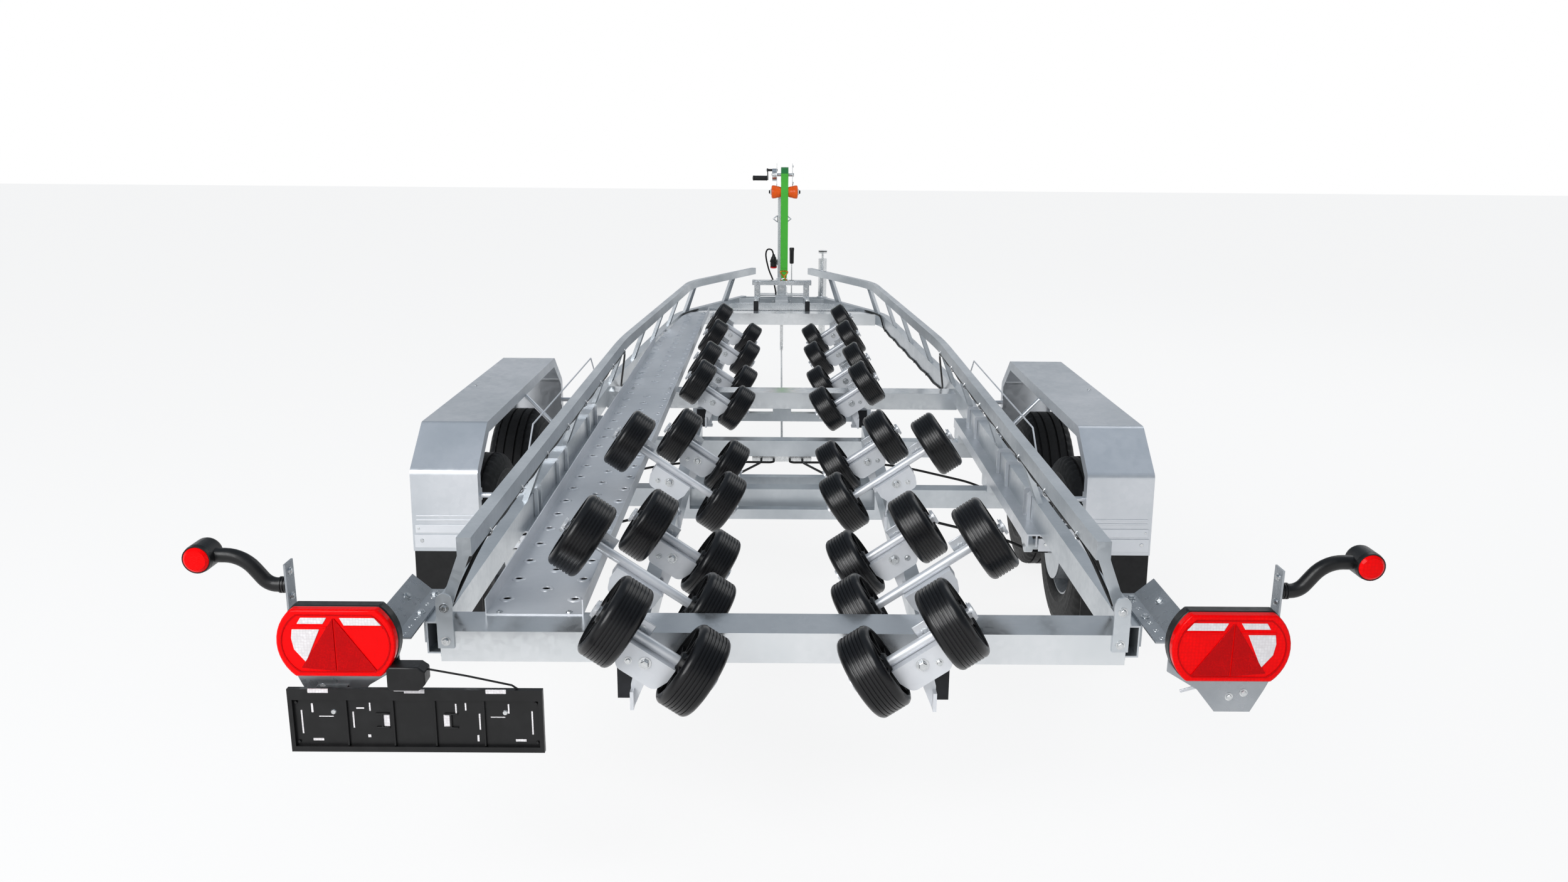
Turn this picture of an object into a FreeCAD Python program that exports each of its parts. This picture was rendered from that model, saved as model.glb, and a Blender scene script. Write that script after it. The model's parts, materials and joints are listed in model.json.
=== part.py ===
import FreeCAD, Part
import os
from math import cos, hypot, pi, radians, sin, tan

# Twin-axle multi-roller boat trailer, hot-dip galvanised, standing on its jockey wheel.
# Millimetres. +X is the trailer's right, +Y is forward to the coupling, +Z is up, the floor is z = 0.

# Overall
FRAME_REAR_Y = -3240.0
FRAME_FRONT_Y = 2900.0
RUN_CLEAR = 0.3  # running gap between faces of different bodies
LAP = 1.0  # how far pieces of one weldment run into each other

# Side frames: a lattice of a lower box chord, a thin upper chord and folded struts
CHORD_W = 40.0
CHORD_H = 80.0
CHORD_X = 820.0
CHORD_Z = 572.0
CHORD_WALL = 4.0
CHORD_OPEN = 300.0  # how deep the open rear end of the chord is modelled
UPPER_W = 34.0
UPPER_H = 45.0
UPPER_X = 740.0
UPPER_Z = 815.0
TAPER_Y = -560.0  # the frames run parallel up to here
TAPER_BEND = (400.0, 3.5)  # length of the bend and its turn in degrees
TAPER_RUN = 1990.0
NOSE_BEND = (350.0, 20.5)
STRUT_T = 4.0
STRUT_FLANGE = 18.0
STRUT_W_TOP = 55.0
STRUT_W_FOOT = 70.0
STRUT_REAR = (1010.0, 690.0, 3)  # distance of the first from the rear end, pitch and number
STRUT_FRONT = (2900.0, 598.0, 6)
END_PLATE_L = 130.0
END_FLANGE_W = 28.0
TAB_W = 38.0
TAB_T = 6.0
TAB_Z = (600.0, 735.0)

# Crossbeams: lipped C sections that open forward
BEAM_D = 120.0
BEAM_H = 75.0
BEAM_Z = 565.0
BEAM_T = 4.0
BEAM_LIP = 18.0
BEAM_REAR_Y = -3208.0
BEAM_MID_Y = -465.0
BEAM_FRONT_Y = 2113.0

# Axle rails and their U-bolts
RAIL_W = 120.0
RAIL_H = 40.0
RAIL_T = 5.0
RAIL_Y0 = -2330.0
RAIL_Y1 = -720.0
CLAMP_Y = (-2175.0, -2120.0, -1790.0, -1620.0, -1095.0, -903.0)
CLAMP_D = 12.0
CLAMP_GAP = 1.0  # keeps the bent bar off the chord's corners

# Axles and wheels
AXLE_W = 70.0
AXLE_TOP_Z = 485.0
AXLE_Y = (-1520.0, -776.0)
SEAT_L = 120.0
ARM_GAP = 10.0
ARM_T = 26.0
ARM_R_AXLE = 36.0
ARM_R_WHEEL = 30.0
WHEEL_TRAIL = 180.0
BACKPLATE_GAP = 79.0
BACKPLATE_T = 4.0
RIM_OFFSET = 105.0
STUB_R = 20.0
TYRE_R = 325.0
TYRE_W = 185.0
RIM_R = 182.0
RIM_W = 150.0
RIM_WALL = 6.0
RIM_BED = (42.0, 12.0)  # where the pressed centre leaves the rim: offset and drop
RIM_DISH = ((44.0, 118.0), (30.0, 88.0), (30.0, 42.0))  # offsets and radii of its face
RIM_CAP = (66.0, 34.0)
RIM_SEAT = 4.0
RIM_BACK = (24.0, 14.0)
DRUM_FACE = 16.0
TYRE_PROFILE = ((0.0, 75.0), (6.0, 30.0), (22.0, 4.0), (50.0, 0.0))  # inset and drop from side and tread
RIM_HOLES = 8
RIM_HOLE_R = 12.0
RIM_HOLE_PCD = 280.0
RIM_HOLE_BACK = 20.0
DRUM_R = 125.0

# Mudguards and flaps
GUARD_IN = 104.0
GUARD_OUT = 117.0
GUARD_TOP = 827.0
GUARD_T = 2.5
GUARD_FLAT_Y0 = -1940.0
GUARD_FLAT_Y1 = -710.0
GUARD_RUN = 165.0
GUARD_SHOULDER_Z = 700.0
GUARD_FOOT_Z = 430.0
GUARD_LEAN = 12.0
GUARD_LIP = 38.0
GUARD_FOLD_R = 28.0
GUARD_MITRE = 0.4  # share of the wall that a mitred corner moves
STAY_R = 9.0
STAY_TAB = 20.0
FLAP_T = 5.0
FLAP_FOOT_Z = 215.0
FLAP_LAP = 60.0

# Walkway, on the left only
WALK_X0 = -718.0
WALK_X1 = -482.0
WALK_T = 3.0
WALK_FLANGE = 40.0
WALK_LAP = 19.0
WALK_GAP = 2.0
WALK_CUT_GAP = 12.0
HOLE_R = 11.0
HOLE_PITCH = 139.0
HOLE_ROWS = (-686.0, -602.0, -518.0)
HOLE_START = 95.0

# Roller cradles
CRADLE_X = 365.0
CRADLE_W = 44.0
CRADLE_H = 80.0
CAP_T = 6.0
CRADLE_REAR = (-3290.0, -850.0)
CRADLE_FRONT = (-550.0, 2190.0)
TIE_Y = -1370.0
TIE_D = 40.0
TIE_H = 55.0
TIE_HALF = 400.0
LOW_TIE_Y = -1600.0
LOW_TIE_Z = 388.0
LOW_TIE_H = 38.0
HANGER_D = 40.0
HANGER_HALF = 440.0
HANGER_Z = (497.0, 534.0)
HANGER_BRACKET = 42.0

# Rollers and saddles
ROLLER_R = 101.0
ROLLER_W = 82.0
ROLLER_SHOULDER = 14.0
ROLLER_RIM = 24.0
ROLLER_HUB_R = 26.0
ROLLER_RECESS = 18.0
SPINDLE_R = 12.0
CLIP_R = 20.0
CLIP_T = 8.0
ROLLER_INNER_X = 197.0
ROLLER_INNER_Z = 594.0
ROLLER_TILT = 34.3
SHORT_SPAN = 221.0
LONG_SPAN = 373.0
REAR_ROWS = ((-3380.0, SHORT_SPAN), (-3041.0, LONG_SPAN), (-2695.0, SHORT_SPAN),
             (-2085.0, LONG_SPAN), (-1655.0, SHORT_SPAN))
FRONT_ROWS = ((-660.0, SHORT_SPAN), (-155.0, SHORT_SPAN), (580.0, SHORT_SPAN), (1235.0, SHORT_SPAN))
SADDLE_TOP_L = 132.0
SADDLE_FOOT_L = 104.0
SADDLE_H = 68.0
SADDLE_CORNER = 22.0
SADDLE_W = 60.0
SADDLE_T = 4.0
PIVOT_R = 9.0
PIVOT_OUT = 8.0
BRACKET_T = 8.0
BRACKET_HALF = 20.0
BRACKET_FOOT = 28.0
BRACKET_GRIP = 45.0

# Winch stand
STAND_BAR_X = 175.0
STAND_BAR_W = 30.0
STAND_BAR_H = 65.0
STAND_BAR_Z = 630.0
STAND_BAR_Y = (2250.0, 2720.0)
STAND_CROSS_Y = (2300.0, 2620.0)
STAND_CROSS_D = 60.0
STAND_CROSS_RAISE = 10.0
KNEE_HALF = 40.0
RISER_X = (150.0, 190.0)
RISER_Y = (2430.0, 2500.0)
STEP_Z = (785.0, 815.0)
STEP_HALF = 205.0
STEP_D = 30.0
POST_W = 60.0
POST_Y = 2600.0
POST_TOP = 1440.0
POST_FOOT = (190.0, 60.0, 8.0)

# Winch, strap and bow roller
DRUM_Y = 2590.0
DRUM_Z = 1528.0
DRUM_CORE_R = 10.0
WOUND_R = 52.0
STRAP_W = 50.0
STRAP_X = 15.0
STRAP_T = 3.0
STRAP_GAP = 10.0
STRAP_FOOT_Z = 860.0
HOOK_W = 40.0
HOOK_T = 12.0
HOOK_H = 30.0
PLATE_X0 = -40.0
PLATE_X1 = 70.0
PLATE_T = 3.0
PLATE_REACH = 75.0
BASE_T = 4.0
GEAR_R = 42.0
GEAR_D = 30.0
CRANK_R = 8.0
CRANK_AHEAD = 62.0
CRANK_UP = 30.0
CRANK_OUT = 60.0
CRANK_REACH = 178.0
CRANK_DROP = 60.0
GRIP_R = 14.0
GRIP_L = 100.0
BOW_Y = 2514.0
BOW_Z = 1415.0
BOW_W = 180.0
BOW_R_END = 45.0
BOW_R_MID = 26.0
BOW_WAIST = 30.0
BOW_CHEEK = 64.8
BOW_PIN_R = 8.0
BOW_ARM_T = 6.0
BOW_ARM_H = 40.0
BOW_CLEAR = 10.0

# Coupling with its overrun housing
COUPLING_Z = 600.0
HOUSING_W = 90.0
HOUSING_Y = (2640.0, 3180.0)
FRONT_PLATE_Y = (2780.0, 2880.0)
FRONT_PLATE_T = 12.0
FRONT_PLATE_IN = 5.0
BELLOWS_L = 150.0
BELLOWS_R = (32.0, 42.0)
BELLOWS_FOLDS = 6
NOSE_Y = 3650.0
BALL_R = 25.4
BALL_BACK = 45.0
SHANK_R = 26.0
HEAD_R = 45.0
HEAD_H = 70.0
SOCKET_H = 59.0
LEVER_HALF = 16.0
LEVER_REACH = 150.0
LEVER_RISE = 75.0
BRAKE_Y = 3105.0
BRAKE_X = 74.0
BRAKE_T = 8.0
BRAKE_HALF = 25.0
BRAKE_TOP_Z = 985.0

# Jockey wheel
JOCKEY_X = 300.0
JOCKEY_Y = 2960.0
JOCKEY_WHEEL_R = 100.0
JOCKEY_WHEEL_W = 60.0
JOCKEY_TUBE_R = 30.0
JOCKEY_LEG_R = 24.0
JOCKEY_TOP_Z = 960.0
JOCKEY_TUBE_Z = (470.0, 900.0)
JOCKEY_LEG_TOP = 660.0
JOCKEY_TRAIL = 45.0
JOCKEY_CLEAR = 45.0
JOCKEY_PIN_R = 8.0
CHEEK_T = 5.0
CHEEK_GAP = 10.0
CLAMP_HALF = 30.0
KNOB_H = 20.0
FORK_EYE = 22.0

# Rear lamps with their arms, marker arms and the plate holder
LAMP_Y = -3620.0
LAMP_W = 241.0
LAMP_H = 145.0
LAMP_D = 50.0
LAMP_X = 905.0
LAMP_Z = 762.0
LAMP_BULGE = 34.0
LAMP_ARM_FRONT = -3050.0
LAMP_FLANGE_Z = (600.0, 660.0)
LAMP_ARM_T = 4.0
LAMP_ARM_SIDE = 42.0
LAMP_ARM_RISE = 40.0
LAMP_STRIP_END = -3350.0
BACK_W = (110.0, 112.0)
BACK_UP = 20.0
BACK_FOOT_X = ((860.0, 1000.0), (900.0, 975.0))
BACK_FOOT_Z = (650.0, 600.0)
UPRIGHT_X = 1012.0
UPRIGHT_T = 4.0
UPRIGHT_D = 40.0
UPRIGHT_TOP = 912.0
MARKER_X = 1185.0
MARKER_Z = 925.0
MARKER_R = 30.0
MARKER_D = 15.0
MARKER_BODY = 45.0
MARKER_ARM_R = 15.0
MARKER_ARM_Z = 862.0
SIDE_MARKER = (30.0, 70.0, 45.0)
SIDE_MARKER_Y = -340.0
PLATE_HOLDER = (-1022.0, -497.0, 512.0, 653.0)
HOLDER_BACK = 20.0
HOLDER_T = 12.0
HOLDER_RIM = (9.0, 9.0, 24.0, 12.0)
HOLDER_SKIN = 4.0

# Brake rod and cables
ROD_R = 6.0
ROD_DROP = 20.0
EQUALISER_D = 20.0
EQUALISER_HALF = 130.0
CABLE_R = 5.0
CABLE_HOOKS = (90.0, 35.0)
CABLE_START_L = 50.0
CABLE_TURN = (450.0, 130.0)  # across the trailer, and ahead of the wheel
CABLE_RISE = (70.0, 65.0)  # inside the swing arm, and ahead of the wheel
CABLE_ENTRY = (60.0, 60.0, 50.0)  # inside the backplate, ahead of the wheel and below its middle

# Lamp leads, clipped under the upper chords and, further forward, inside the lower ones
LEAD_R = 4.5
LEAD_START = (120.0, 655.0)  # along the frame from its rear end, and height
LEAD_CLIP_S = 2775.0  # the clip over the middle crossbeam, measured along the frame
LEAD_PITCH = 370.0
LEAD_HIGH_CLIPS = range(-7, 1)
LEAD_LOW_CLIPS = range(1, 7)
LEAD_FLAT = 75.0
LEAD_SAG = 8.0
LEAD_IN = 6.5  # inside the upper chord's inner edge
LEAD_DOWN_S = 3070.0
LEAD_OVER_BEAM = (5180.0, 5460.0)
LEAD_STEPS = 3  # straight runs that follow the frame's bend over the front crossbeam

# Places that follow from the sizes above
BEAM_TOP = BEAM_Z + BEAM_H
CHORD_TOP = CHORD_Z + CHORD_H
CHORD_IN = CHORD_X - CHORD_W / 2
CHORD_OUT = CHORD_X + CHORD_W / 2
RAIL_IN = CHORD_X - RAIL_W / 2
RAIL_OUT = CHORD_X + RAIL_W / 2
ARM_X0 = RAIL_OUT + ARM_GAP
BACKPLATE_X = ARM_X0 + ARM_T + BACKPLATE_GAP
WHEEL_X = BACKPLATE_X + RIM_OFFSET
GUARD_X0 = WHEEL_X - GUARD_IN
GUARD_X1 = WHEEL_X + GUARD_OUT
CRANK_Y = DRUM_Y + CRANK_AHEAD
CRANK_Z = DRUM_Z + CRANK_UP
TALL = 2000.0  # taller than anything that a mask is laid over


def vec(x, y, z):
    return FreeCAD.Vector(x, y, z)


def block(x0, x1, y0, y1, z0, z1):
    """Box between two corners, given in any order."""
    low = vec(min(x0, x1), min(y0, y1), min(z0, z1))
    return Part.makeBox(abs(x1 - x0), abs(y1 - y0), abs(z1 - z0), low)


def rod(p, q, r):
    """Round bar of radius r from p to q."""
    d = q.sub(p)
    return Part.makeCylinder(r, d.Length, p, d)


def pipe(p, q, r, wall):
    """Round tube from p to q."""
    d = q.sub(p)
    outer = Part.makeCylinder(r, d.Length, p, d)
    return outer.cut(Part.makeCylinder(r - wall, d.Length, p, d))


def fuse(shapes):
    """One shape from many that overlap or touch, with split faces merged."""
    shapes = list(shapes)
    if len(shapes) == 1:
        return shapes[0]
    return shapes[0].multiFuse(shapes[1:]).removeSplitter()


def mirrored(shape):
    return shape.mirror(vec(0, 0, 0), vec(1, 0, 0))


def both_sides(shape):
    return [shape, mirrored(shape)]


def on_side(shape, side):
    """The right-hand piece itself, or its copy for the left."""
    return shape if side > 0 else mirrored(shape)


def closed_face(points):
    return Part.Face(Part.makePolygon(points + points[:1]))


def prism_x(points_yz, x0, x1):
    return closed_face([vec(x0, y, z) for y, z in points_yz]).extrude(vec(x1 - x0, 0, 0))


def prism_y(points_xz, y0, y1):
    return closed_face([vec(x, y0, z) for x, z in points_xz]).extrude(vec(0, y1 - y0, 0))


def turned_x(points_xr, centre):
    """Solid of revolution about an X axis through centre from (x, radius) points."""
    face = closed_face([vec(x, 0, r) for x, r in points_xr])
    solid = face.revolve(vec(0, 0, 0), vec(1, 0, 0), 360)
    solid.translate(centre)
    return solid


def bent_bar(points, r, bend=None):
    """Round bar or cable along straight runs joined by tangent arcs, of radius bend where it is given."""
    points = [vec(*p) for p in points]
    edges = []
    here = points[0]
    for before, corner, after in zip(points, points[1:], points[2:]):
        a = corner.sub(before)
        b = after.sub(corner)
        shorter = min(a.Length, b.Length)
        a.normalize()
        b.normalize()
        half_turn = a.getAngle(b) / 2
        setback = bend * tan(half_turn) if bend else 0.45 * shorter
        radius = setback / tan(half_turn)
        inward = b.sub(a)
        inward.normalize()
        start = corner - a * setback
        middle = corner + inward * (radius / cos(half_turn) - radius)
        end = corner + b * setback
        edges += [Part.LineSegment(here, start).toShape(), Part.Arc(start, middle, end).toShape()]
        here = end
    edges.append(Part.LineSegment(here, points[-1]).toShape())
    first = points[1].sub(points[0])
    section = Part.Wire(Part.Circle(points[0], first, r).toShape())
    return Part.Wire(edges).makePipeShell([section], True, False)


def filleted(solid, radius, wanted):
    """Rounds the edges whose middle passes the test."""
    return solid.makeFillet(radius, [edge for edge in solid.Edges if wanted(edge.CenterOfMass)])


NODES = {}


def add(name, *shapes):
    """Keeps the solids of one node."""
    solids = [solid for shape in shapes for solid in shape.Solids]
    NODES[name] = solids[0] if len(solids) == 1 else Part.makeCompound(solids)


# Side frames

def frame_runs():
    """Length and turn of each run of the side frame, from its rear end to its nose."""
    taper_length, taper = TAPER_BEND
    nose_length, nose = NOSE_BEND
    y = TAPER_Y + taper_length * cos(radians(taper / 2)) + TAPER_RUN * cos(radians(taper))
    y += nose_length * cos(radians(taper + nose / 2))
    last = (FRAME_FRONT_Y - y) / cos(radians(taper + nose))
    return [(TAPER_Y - FRAME_REAR_Y, 0.0), TAPER_BEND, (TAPER_RUN, 0.0), NOSE_BEND, (last, 0.0)]


RUNS = frame_runs()


def turning_point(length, turn):
    """Centre of a bend that starts at the side frame's rear end."""
    return vec(CHORD_X - length / radians(turn), FRAME_REAR_Y, 0)


def along(shape, s):
    """Moves a shape that was modelled at the rear end to the distance s along the side frame."""
    shape = shape.copy()
    covered = []
    for length, turn in RUNS:
        part = min(length, s)
        covered.append((part, turn * part / length))
        s -= part
    for length, turn in reversed(covered):
        if turn:
            shape.rotate(turning_point(length, turn), vec(0, 0, 1), turn)
        else:
            shape.translate(vec(0, length, 0))
    return shape


def swept(section, beyond=0.0):
    """Sweeps an x-z section along the whole side frame, and beyond its nose where that is asked for."""
    face = closed_face([vec(x, FRAME_REAR_Y, z) for x, z in section])
    pieces = []
    s = 0.0
    for i, (length, turn) in enumerate(RUNS):
        if turn:
            piece = face.revolve(turning_point(length, turn), vec(0, 0, 1), turn)
        else:
            extra = beyond if i == len(RUNS) - 1 else 0.0
            piece = face.extrude(vec(0, length + extra, 0))
        pieces.append(along(piece, s))
        s += length
    return fuse(pieces)


def between_frames(gap):
    """All the space between the side frames, past both of their ends, less a gap along each."""
    inner = CHORD_IN - gap
    right_side = block(0, CHORD_X, FRAME_REAR_Y, FRAME_FRONT_Y + CHORD_X, 0, TALL)
    half = swept(rectangle(0, inner, 0, TALL), CHORD_X).common(right_side)
    behind = block(-inner, inner, FRAME_REAR_Y - BEAM_D, FRAME_REAR_Y, 0, TALL)
    return fuse(both_sides(half) + [behind])


def rectangle(x0, x1, z0, z1):
    return [(x0, z0), (x1, z0), (x1, z1), (x0, z1)]


def leaning(foot_x, thickness, inset):
    """Section of a plate that leans from the lower chord's top to the upper chord."""
    foot_z = CHORD_TOP - LAP
    top_z = UPPER_Z + LAP
    return [(foot_x - thickness, foot_z), (foot_x - inset, foot_z),
            (UPPER_X + UPPER_W / 2 - inset, top_z), (UPPER_X + UPPER_W / 2 - thickness, top_z)]


def strut():
    """Folded channel between the chords, wider at its foot, open inward."""
    foot_x = CHORD_IN + STRUT_FLANGE + LAP

    def tapered(section, edge):
        half_foot = STRUT_W_FOOT / 2 - edge
        half_top = STRUT_W_TOP / 2 - edge
        y = FRAME_REAR_Y
        outline = [(y - half_foot, CHORD_TOP - LAP), (y + half_foot, CHORD_TOP - LAP),
                   (y + half_top, UPPER_Z + LAP), (y - half_top, UPPER_Z + LAP)]
        plate = prism_y(section, y - STRUT_W_FOOT, y + STRUT_W_FOOT)
        return plate.common(prism_x(outline, 0, TALL))

    whole = tapered(leaning(foot_x, STRUT_FLANGE, 0), 0)
    return whole.cut(tapered(leaning(foot_x, STRUT_FLANGE + LAP, STRUT_T), STRUT_T))


def end_plate():
    """Leaning plate that closes the lattice's end, with a rear flange."""
    foot_x = CHORD_IN + STRUT_FLANGE + LAP
    plate = prism_y(leaning(foot_x, STRUT_T, 0), FRAME_REAR_Y, FRAME_REAR_Y + END_PLATE_L)
    flange = prism_y(leaning(foot_x, END_FLANGE_W, 0), FRAME_REAR_Y, FRAME_REAR_Y + STRUT_T)
    return fuse([plate, flange])


def rear_tab(foot_x):
    """Round-topped plate over the joint with the rear crossbeam, and its web back to the end plate."""
    face_y = BEAM_REAR_Y - BEAM_D / 2
    z0, z1 = TAB_Z
    radius = TAB_W / 2
    plate = block(foot_x - TAB_W, foot_x, face_y - TAB_T, face_y, z0, z1 - radius)
    head = rod(vec(foot_x - radius, face_y - TAB_T, z1 - radius),
               vec(foot_x - radius, face_y, z1 - radius), radius)
    web = block(foot_x - TAB_T, foot_x, face_y - LAP, FRAME_REAR_Y + END_PLATE_L / 2, CHORD_TOP - LAP,
                z1 - radius)
    return fuse([plate, head, web])


def side_frame():
    lower = swept(rectangle(CHORD_IN, CHORD_OUT, CHORD_Z, CHORD_TOP))
    upper = swept(rectangle(UPPER_X - UPPER_W / 2, UPPER_X + UPPER_W / 2, UPPER_Z, UPPER_Z + UPPER_H))
    one = strut()
    struts = [along(one, first + i * pitch)
              for first, pitch, count in (STRUT_REAR, STRUT_FRONT) for i in range(count)]
    opening = block(CHORD_IN + CHORD_WALL, CHORD_OUT - CHORD_WALL, FRAME_REAR_Y, FRAME_REAR_Y + CHORD_OPEN,
                    CHORD_Z + CHORD_WALL, CHORD_TOP - CHORD_WALL)
    frame = fuse([lower, upper, end_plate(), rear_tab(CHORD_IN + CHORD_WALL)] + struts)
    return frame.cut(opening)


frame_right = side_frame()
add("side_frame_right", frame_right)
add("side_frame_left", mirrored(frame_right))


# Crossbeams between the side frames

def crossbeam(y, half):
    """C section with lips, closed to the rear and open forward, cut square at both ends."""
    rear = y - BEAM_D / 2
    front = y + BEAM_D / 2
    top = BEAM_TOP
    outline = [(rear, BEAM_Z), (front, BEAM_Z), (front, BEAM_Z + BEAM_LIP),
               (front - BEAM_T, BEAM_Z + BEAM_LIP), (front - BEAM_T, BEAM_Z + BEAM_T),
               (rear + BEAM_T, BEAM_Z + BEAM_T), (rear + BEAM_T, top - BEAM_T),
               (front - BEAM_T, top - BEAM_T), (front - BEAM_T, top - BEAM_LIP),
               (front, top - BEAM_LIP), (front, top), (rear, top)]
    return prism_x(outline, -half, half)


beam_space = between_frames(0)
add("crossbeams",
    *[crossbeam(y, CHORD_X).common(beam_space) for y in (BEAM_REAR_Y, BEAM_MID_Y, BEAM_FRONT_Y)])


# Axle rails under the lower chords, clamped by U-bolts

def axle_rail():
    """Inverted channel, wider than the chord that it carries."""
    foot = CHORD_Z - RAIL_H
    under = CHORD_Z - RAIL_T
    section = [(RAIL_IN, foot), (RAIL_IN + RAIL_T, foot), (RAIL_IN + RAIL_T, under),
               (RAIL_OUT - RAIL_T, under), (RAIL_OUT - RAIL_T, foot), (RAIL_OUT, foot),
               (RAIL_OUT, CHORD_Z), (RAIL_IN, CHORD_Z)]
    return prism_y(section, RAIL_Y0, RAIL_Y1)


def u_bolt(y):
    """Bar folded over the lower chord, with its legs down the chord's sides to the rail."""
    near = CHORD_W / 2 + CLAMP_GAP
    far = near + CLAMP_D
    fold = CLAMP_D / 2
    side = [(near, CHORD_Z), (near, CHORD_TOP), (-near, CHORD_TOP), (-near, CHORD_Z), (-far, CHORD_Z),
            (-far, CHORD_TOP + fold), (-far + fold, CHORD_TOP + CLAMP_D), (far - fold, CHORD_TOP + CLAMP_D),
            (far, CHORD_TOP + fold), (far, CHORD_Z)]
    return prism_y([(CHORD_X + x, z) for x, z in side], y - CLAMP_D / 2, y + CLAMP_D / 2)


rail_and_clamps = [axle_rail()] + [u_bolt(y) for y in CLAMP_Y]
add("axle_rails", *[side for piece in rail_and_clamps for side in both_sides(piece)])


# Axles with swing arms and brake backplates

def swing_arm(y):
    """Arm from the axle tube's end back to the wheel, with its bosses, stub axle and backplate."""
    wheel_y = y - WHEEL_TRAIL
    axle_z = AXLE_TOP_Z - AXLE_W / 2
    rise = axle_z - TYRE_R
    length = hypot(WHEEL_TRAIL, rise)
    ny = rise / length
    nz = WHEEL_TRAIL / length
    a = ARM_R_AXLE
    b = ARM_R_WHEEL
    bar = prism_x([(y - a * ny, axle_z + a * nz), (y + a * ny, axle_z - a * nz),
                   (wheel_y + b * ny, TYRE_R - b * nz), (wheel_y - b * ny, TYRE_R + b * nz)],
                  ARM_X0, ARM_X0 + ARM_T)
    boss = rod(vec(ARM_X0 - ARM_GAP, y, axle_z), vec(ARM_X0 + ARM_T, y, axle_z), a)
    end = rod(vec(ARM_X0, wheel_y, TYRE_R), vec(ARM_X0 + ARM_T, wheel_y, TYRE_R), b)
    stub = rod(vec(ARM_X0, wheel_y, TYRE_R), vec(WHEEL_X, wheel_y, TYRE_R), STUB_R)
    plate = rod(vec(BACKPLATE_X - BACKPLATE_T, wheel_y, TYRE_R), vec(BACKPLATE_X, wheel_y, TYRE_R), DRUM_R)
    return fuse([bar, boss, end, stub, plate])


def axle(y):
    tube = block(-ARM_X0, ARM_X0, y - AXLE_W / 2, y + AXLE_W / 2, AXLE_TOP_Z - AXLE_W, AXLE_TOP_Z)
    seat = block(RAIL_IN + RAIL_T, RAIL_OUT - RAIL_T, y - SEAT_L / 2, y + SEAT_L / 2, AXLE_TOP_Z,
                 CHORD_Z - RAIL_T)
    return fuse([tube] + both_sides(seat) + both_sides(swing_arm(y)))


add("axles", *[axle(y) for y in AXLE_Y])


# Road wheels

def tyre(x, y):
    """Ring between bead and tread, with rounded shoulders and flat sides."""
    h = TYRE_W / 2
    bead = RIM_W / 2
    right = [(bead, RIM_R)] + [(h - inset, TYRE_R - drop) for inset, drop in TYRE_PROFILE]
    left = [(-a, r) for a, r in reversed(right)]
    return turned_x(right + left, vec(x, y, TYRE_R))


def rim(x, y):
    """Pressed steel rim with a dished centre, hub cap and brake drum, as one turning piece."""
    w = RIM_W / 2
    inner = RIM_R - RIM_WALL
    bore = STUB_R + RUN_CLEAR
    drum_x = BACKPLATE_X + RUN_CLEAR + LAP - WHEEL_X
    bed_x, bed_drop = RIM_BED
    cap_x, cap_r = RIM_CAP
    back_x, back_drop = RIM_BACK
    face = [(w, inner), (bed_x, inner - bed_drop), *RIM_DISH, (cap_x, cap_r), (cap_x, 0)]
    hub = [(RIM_SEAT, 0), (RIM_SEAT, bore), (drum_x, bore), (drum_x, DRUM_R), (DRUM_FACE, DRUM_R)]
    profile = [(-w, RIM_R), (w, RIM_R)] + face + hub + [(back_x, inner - back_drop), (-w, inner)]
    solid = turned_x(profile, vec(x, y, TYRE_R))
    holes = []
    for i in range(RIM_HOLES):
        a = 2 * pi * i / RIM_HOLES
        p = vec(x + RIM_HOLE_BACK, y + RIM_HOLE_PCD / 2 * cos(a), TYRE_R + RIM_HOLE_PCD / 2 * sin(a))
        holes.append(Part.makeCylinder(RIM_HOLE_R, RIM_W, p, vec(1, 0, 0)))
    return solid.cut(Part.makeCompound(holes))


WHEEL_Y = {"rear": AXLE_Y[0] - WHEEL_TRAIL, "front": AXLE_Y[1] - WHEEL_TRAIL}
for place, y in WHEEL_Y.items():
    tyre_right = tyre(WHEEL_X, y)
    rim_right = rim(WHEEL_X, y)
    for side, name in ((1, "right"), (-1, "left")):
        add("tyre_" + place + "_" + name, on_side(tyre_right, side))
        add("rim_" + place + "_" + name, on_side(rim_right, side))


# Mudguards with their lips and stays, and the black flaps

def guard_outline(inset, lap):
    """Side outline of the guard, moved in by inset, and its two feet raised by lap."""
    ends = GUARD_RUN + GUARD_LEAN * (1 - lap / (GUARD_SHOULDER_Z - GUARD_FOOT_Z))
    y0 = GUARD_FLAT_Y0
    y1 = GUARD_FLAT_Y1
    k = inset * GUARD_MITRE
    return [(y0 - ends + inset, GUARD_FOOT_Z + lap), (y0 - GUARD_RUN + inset, GUARD_SHOULDER_Z - k),
            (y0 + k, GUARD_TOP - inset), (y1 - k, GUARD_TOP - inset),
            (y1 + GUARD_RUN - inset, GUARD_SHOULDER_Z - k), (y1 + ends - inset, GUARD_FOOT_Z + lap)]


def is_fold(p):
    """True for the middle of an edge across the guard above its feet."""
    return p.z > (GUARD_FOOT_Z + GUARD_SHOULDER_Z) / 2 and GUARD_X0 + GUARD_LIP < p.x < GUARD_X1 - GUARD_LIP


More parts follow.
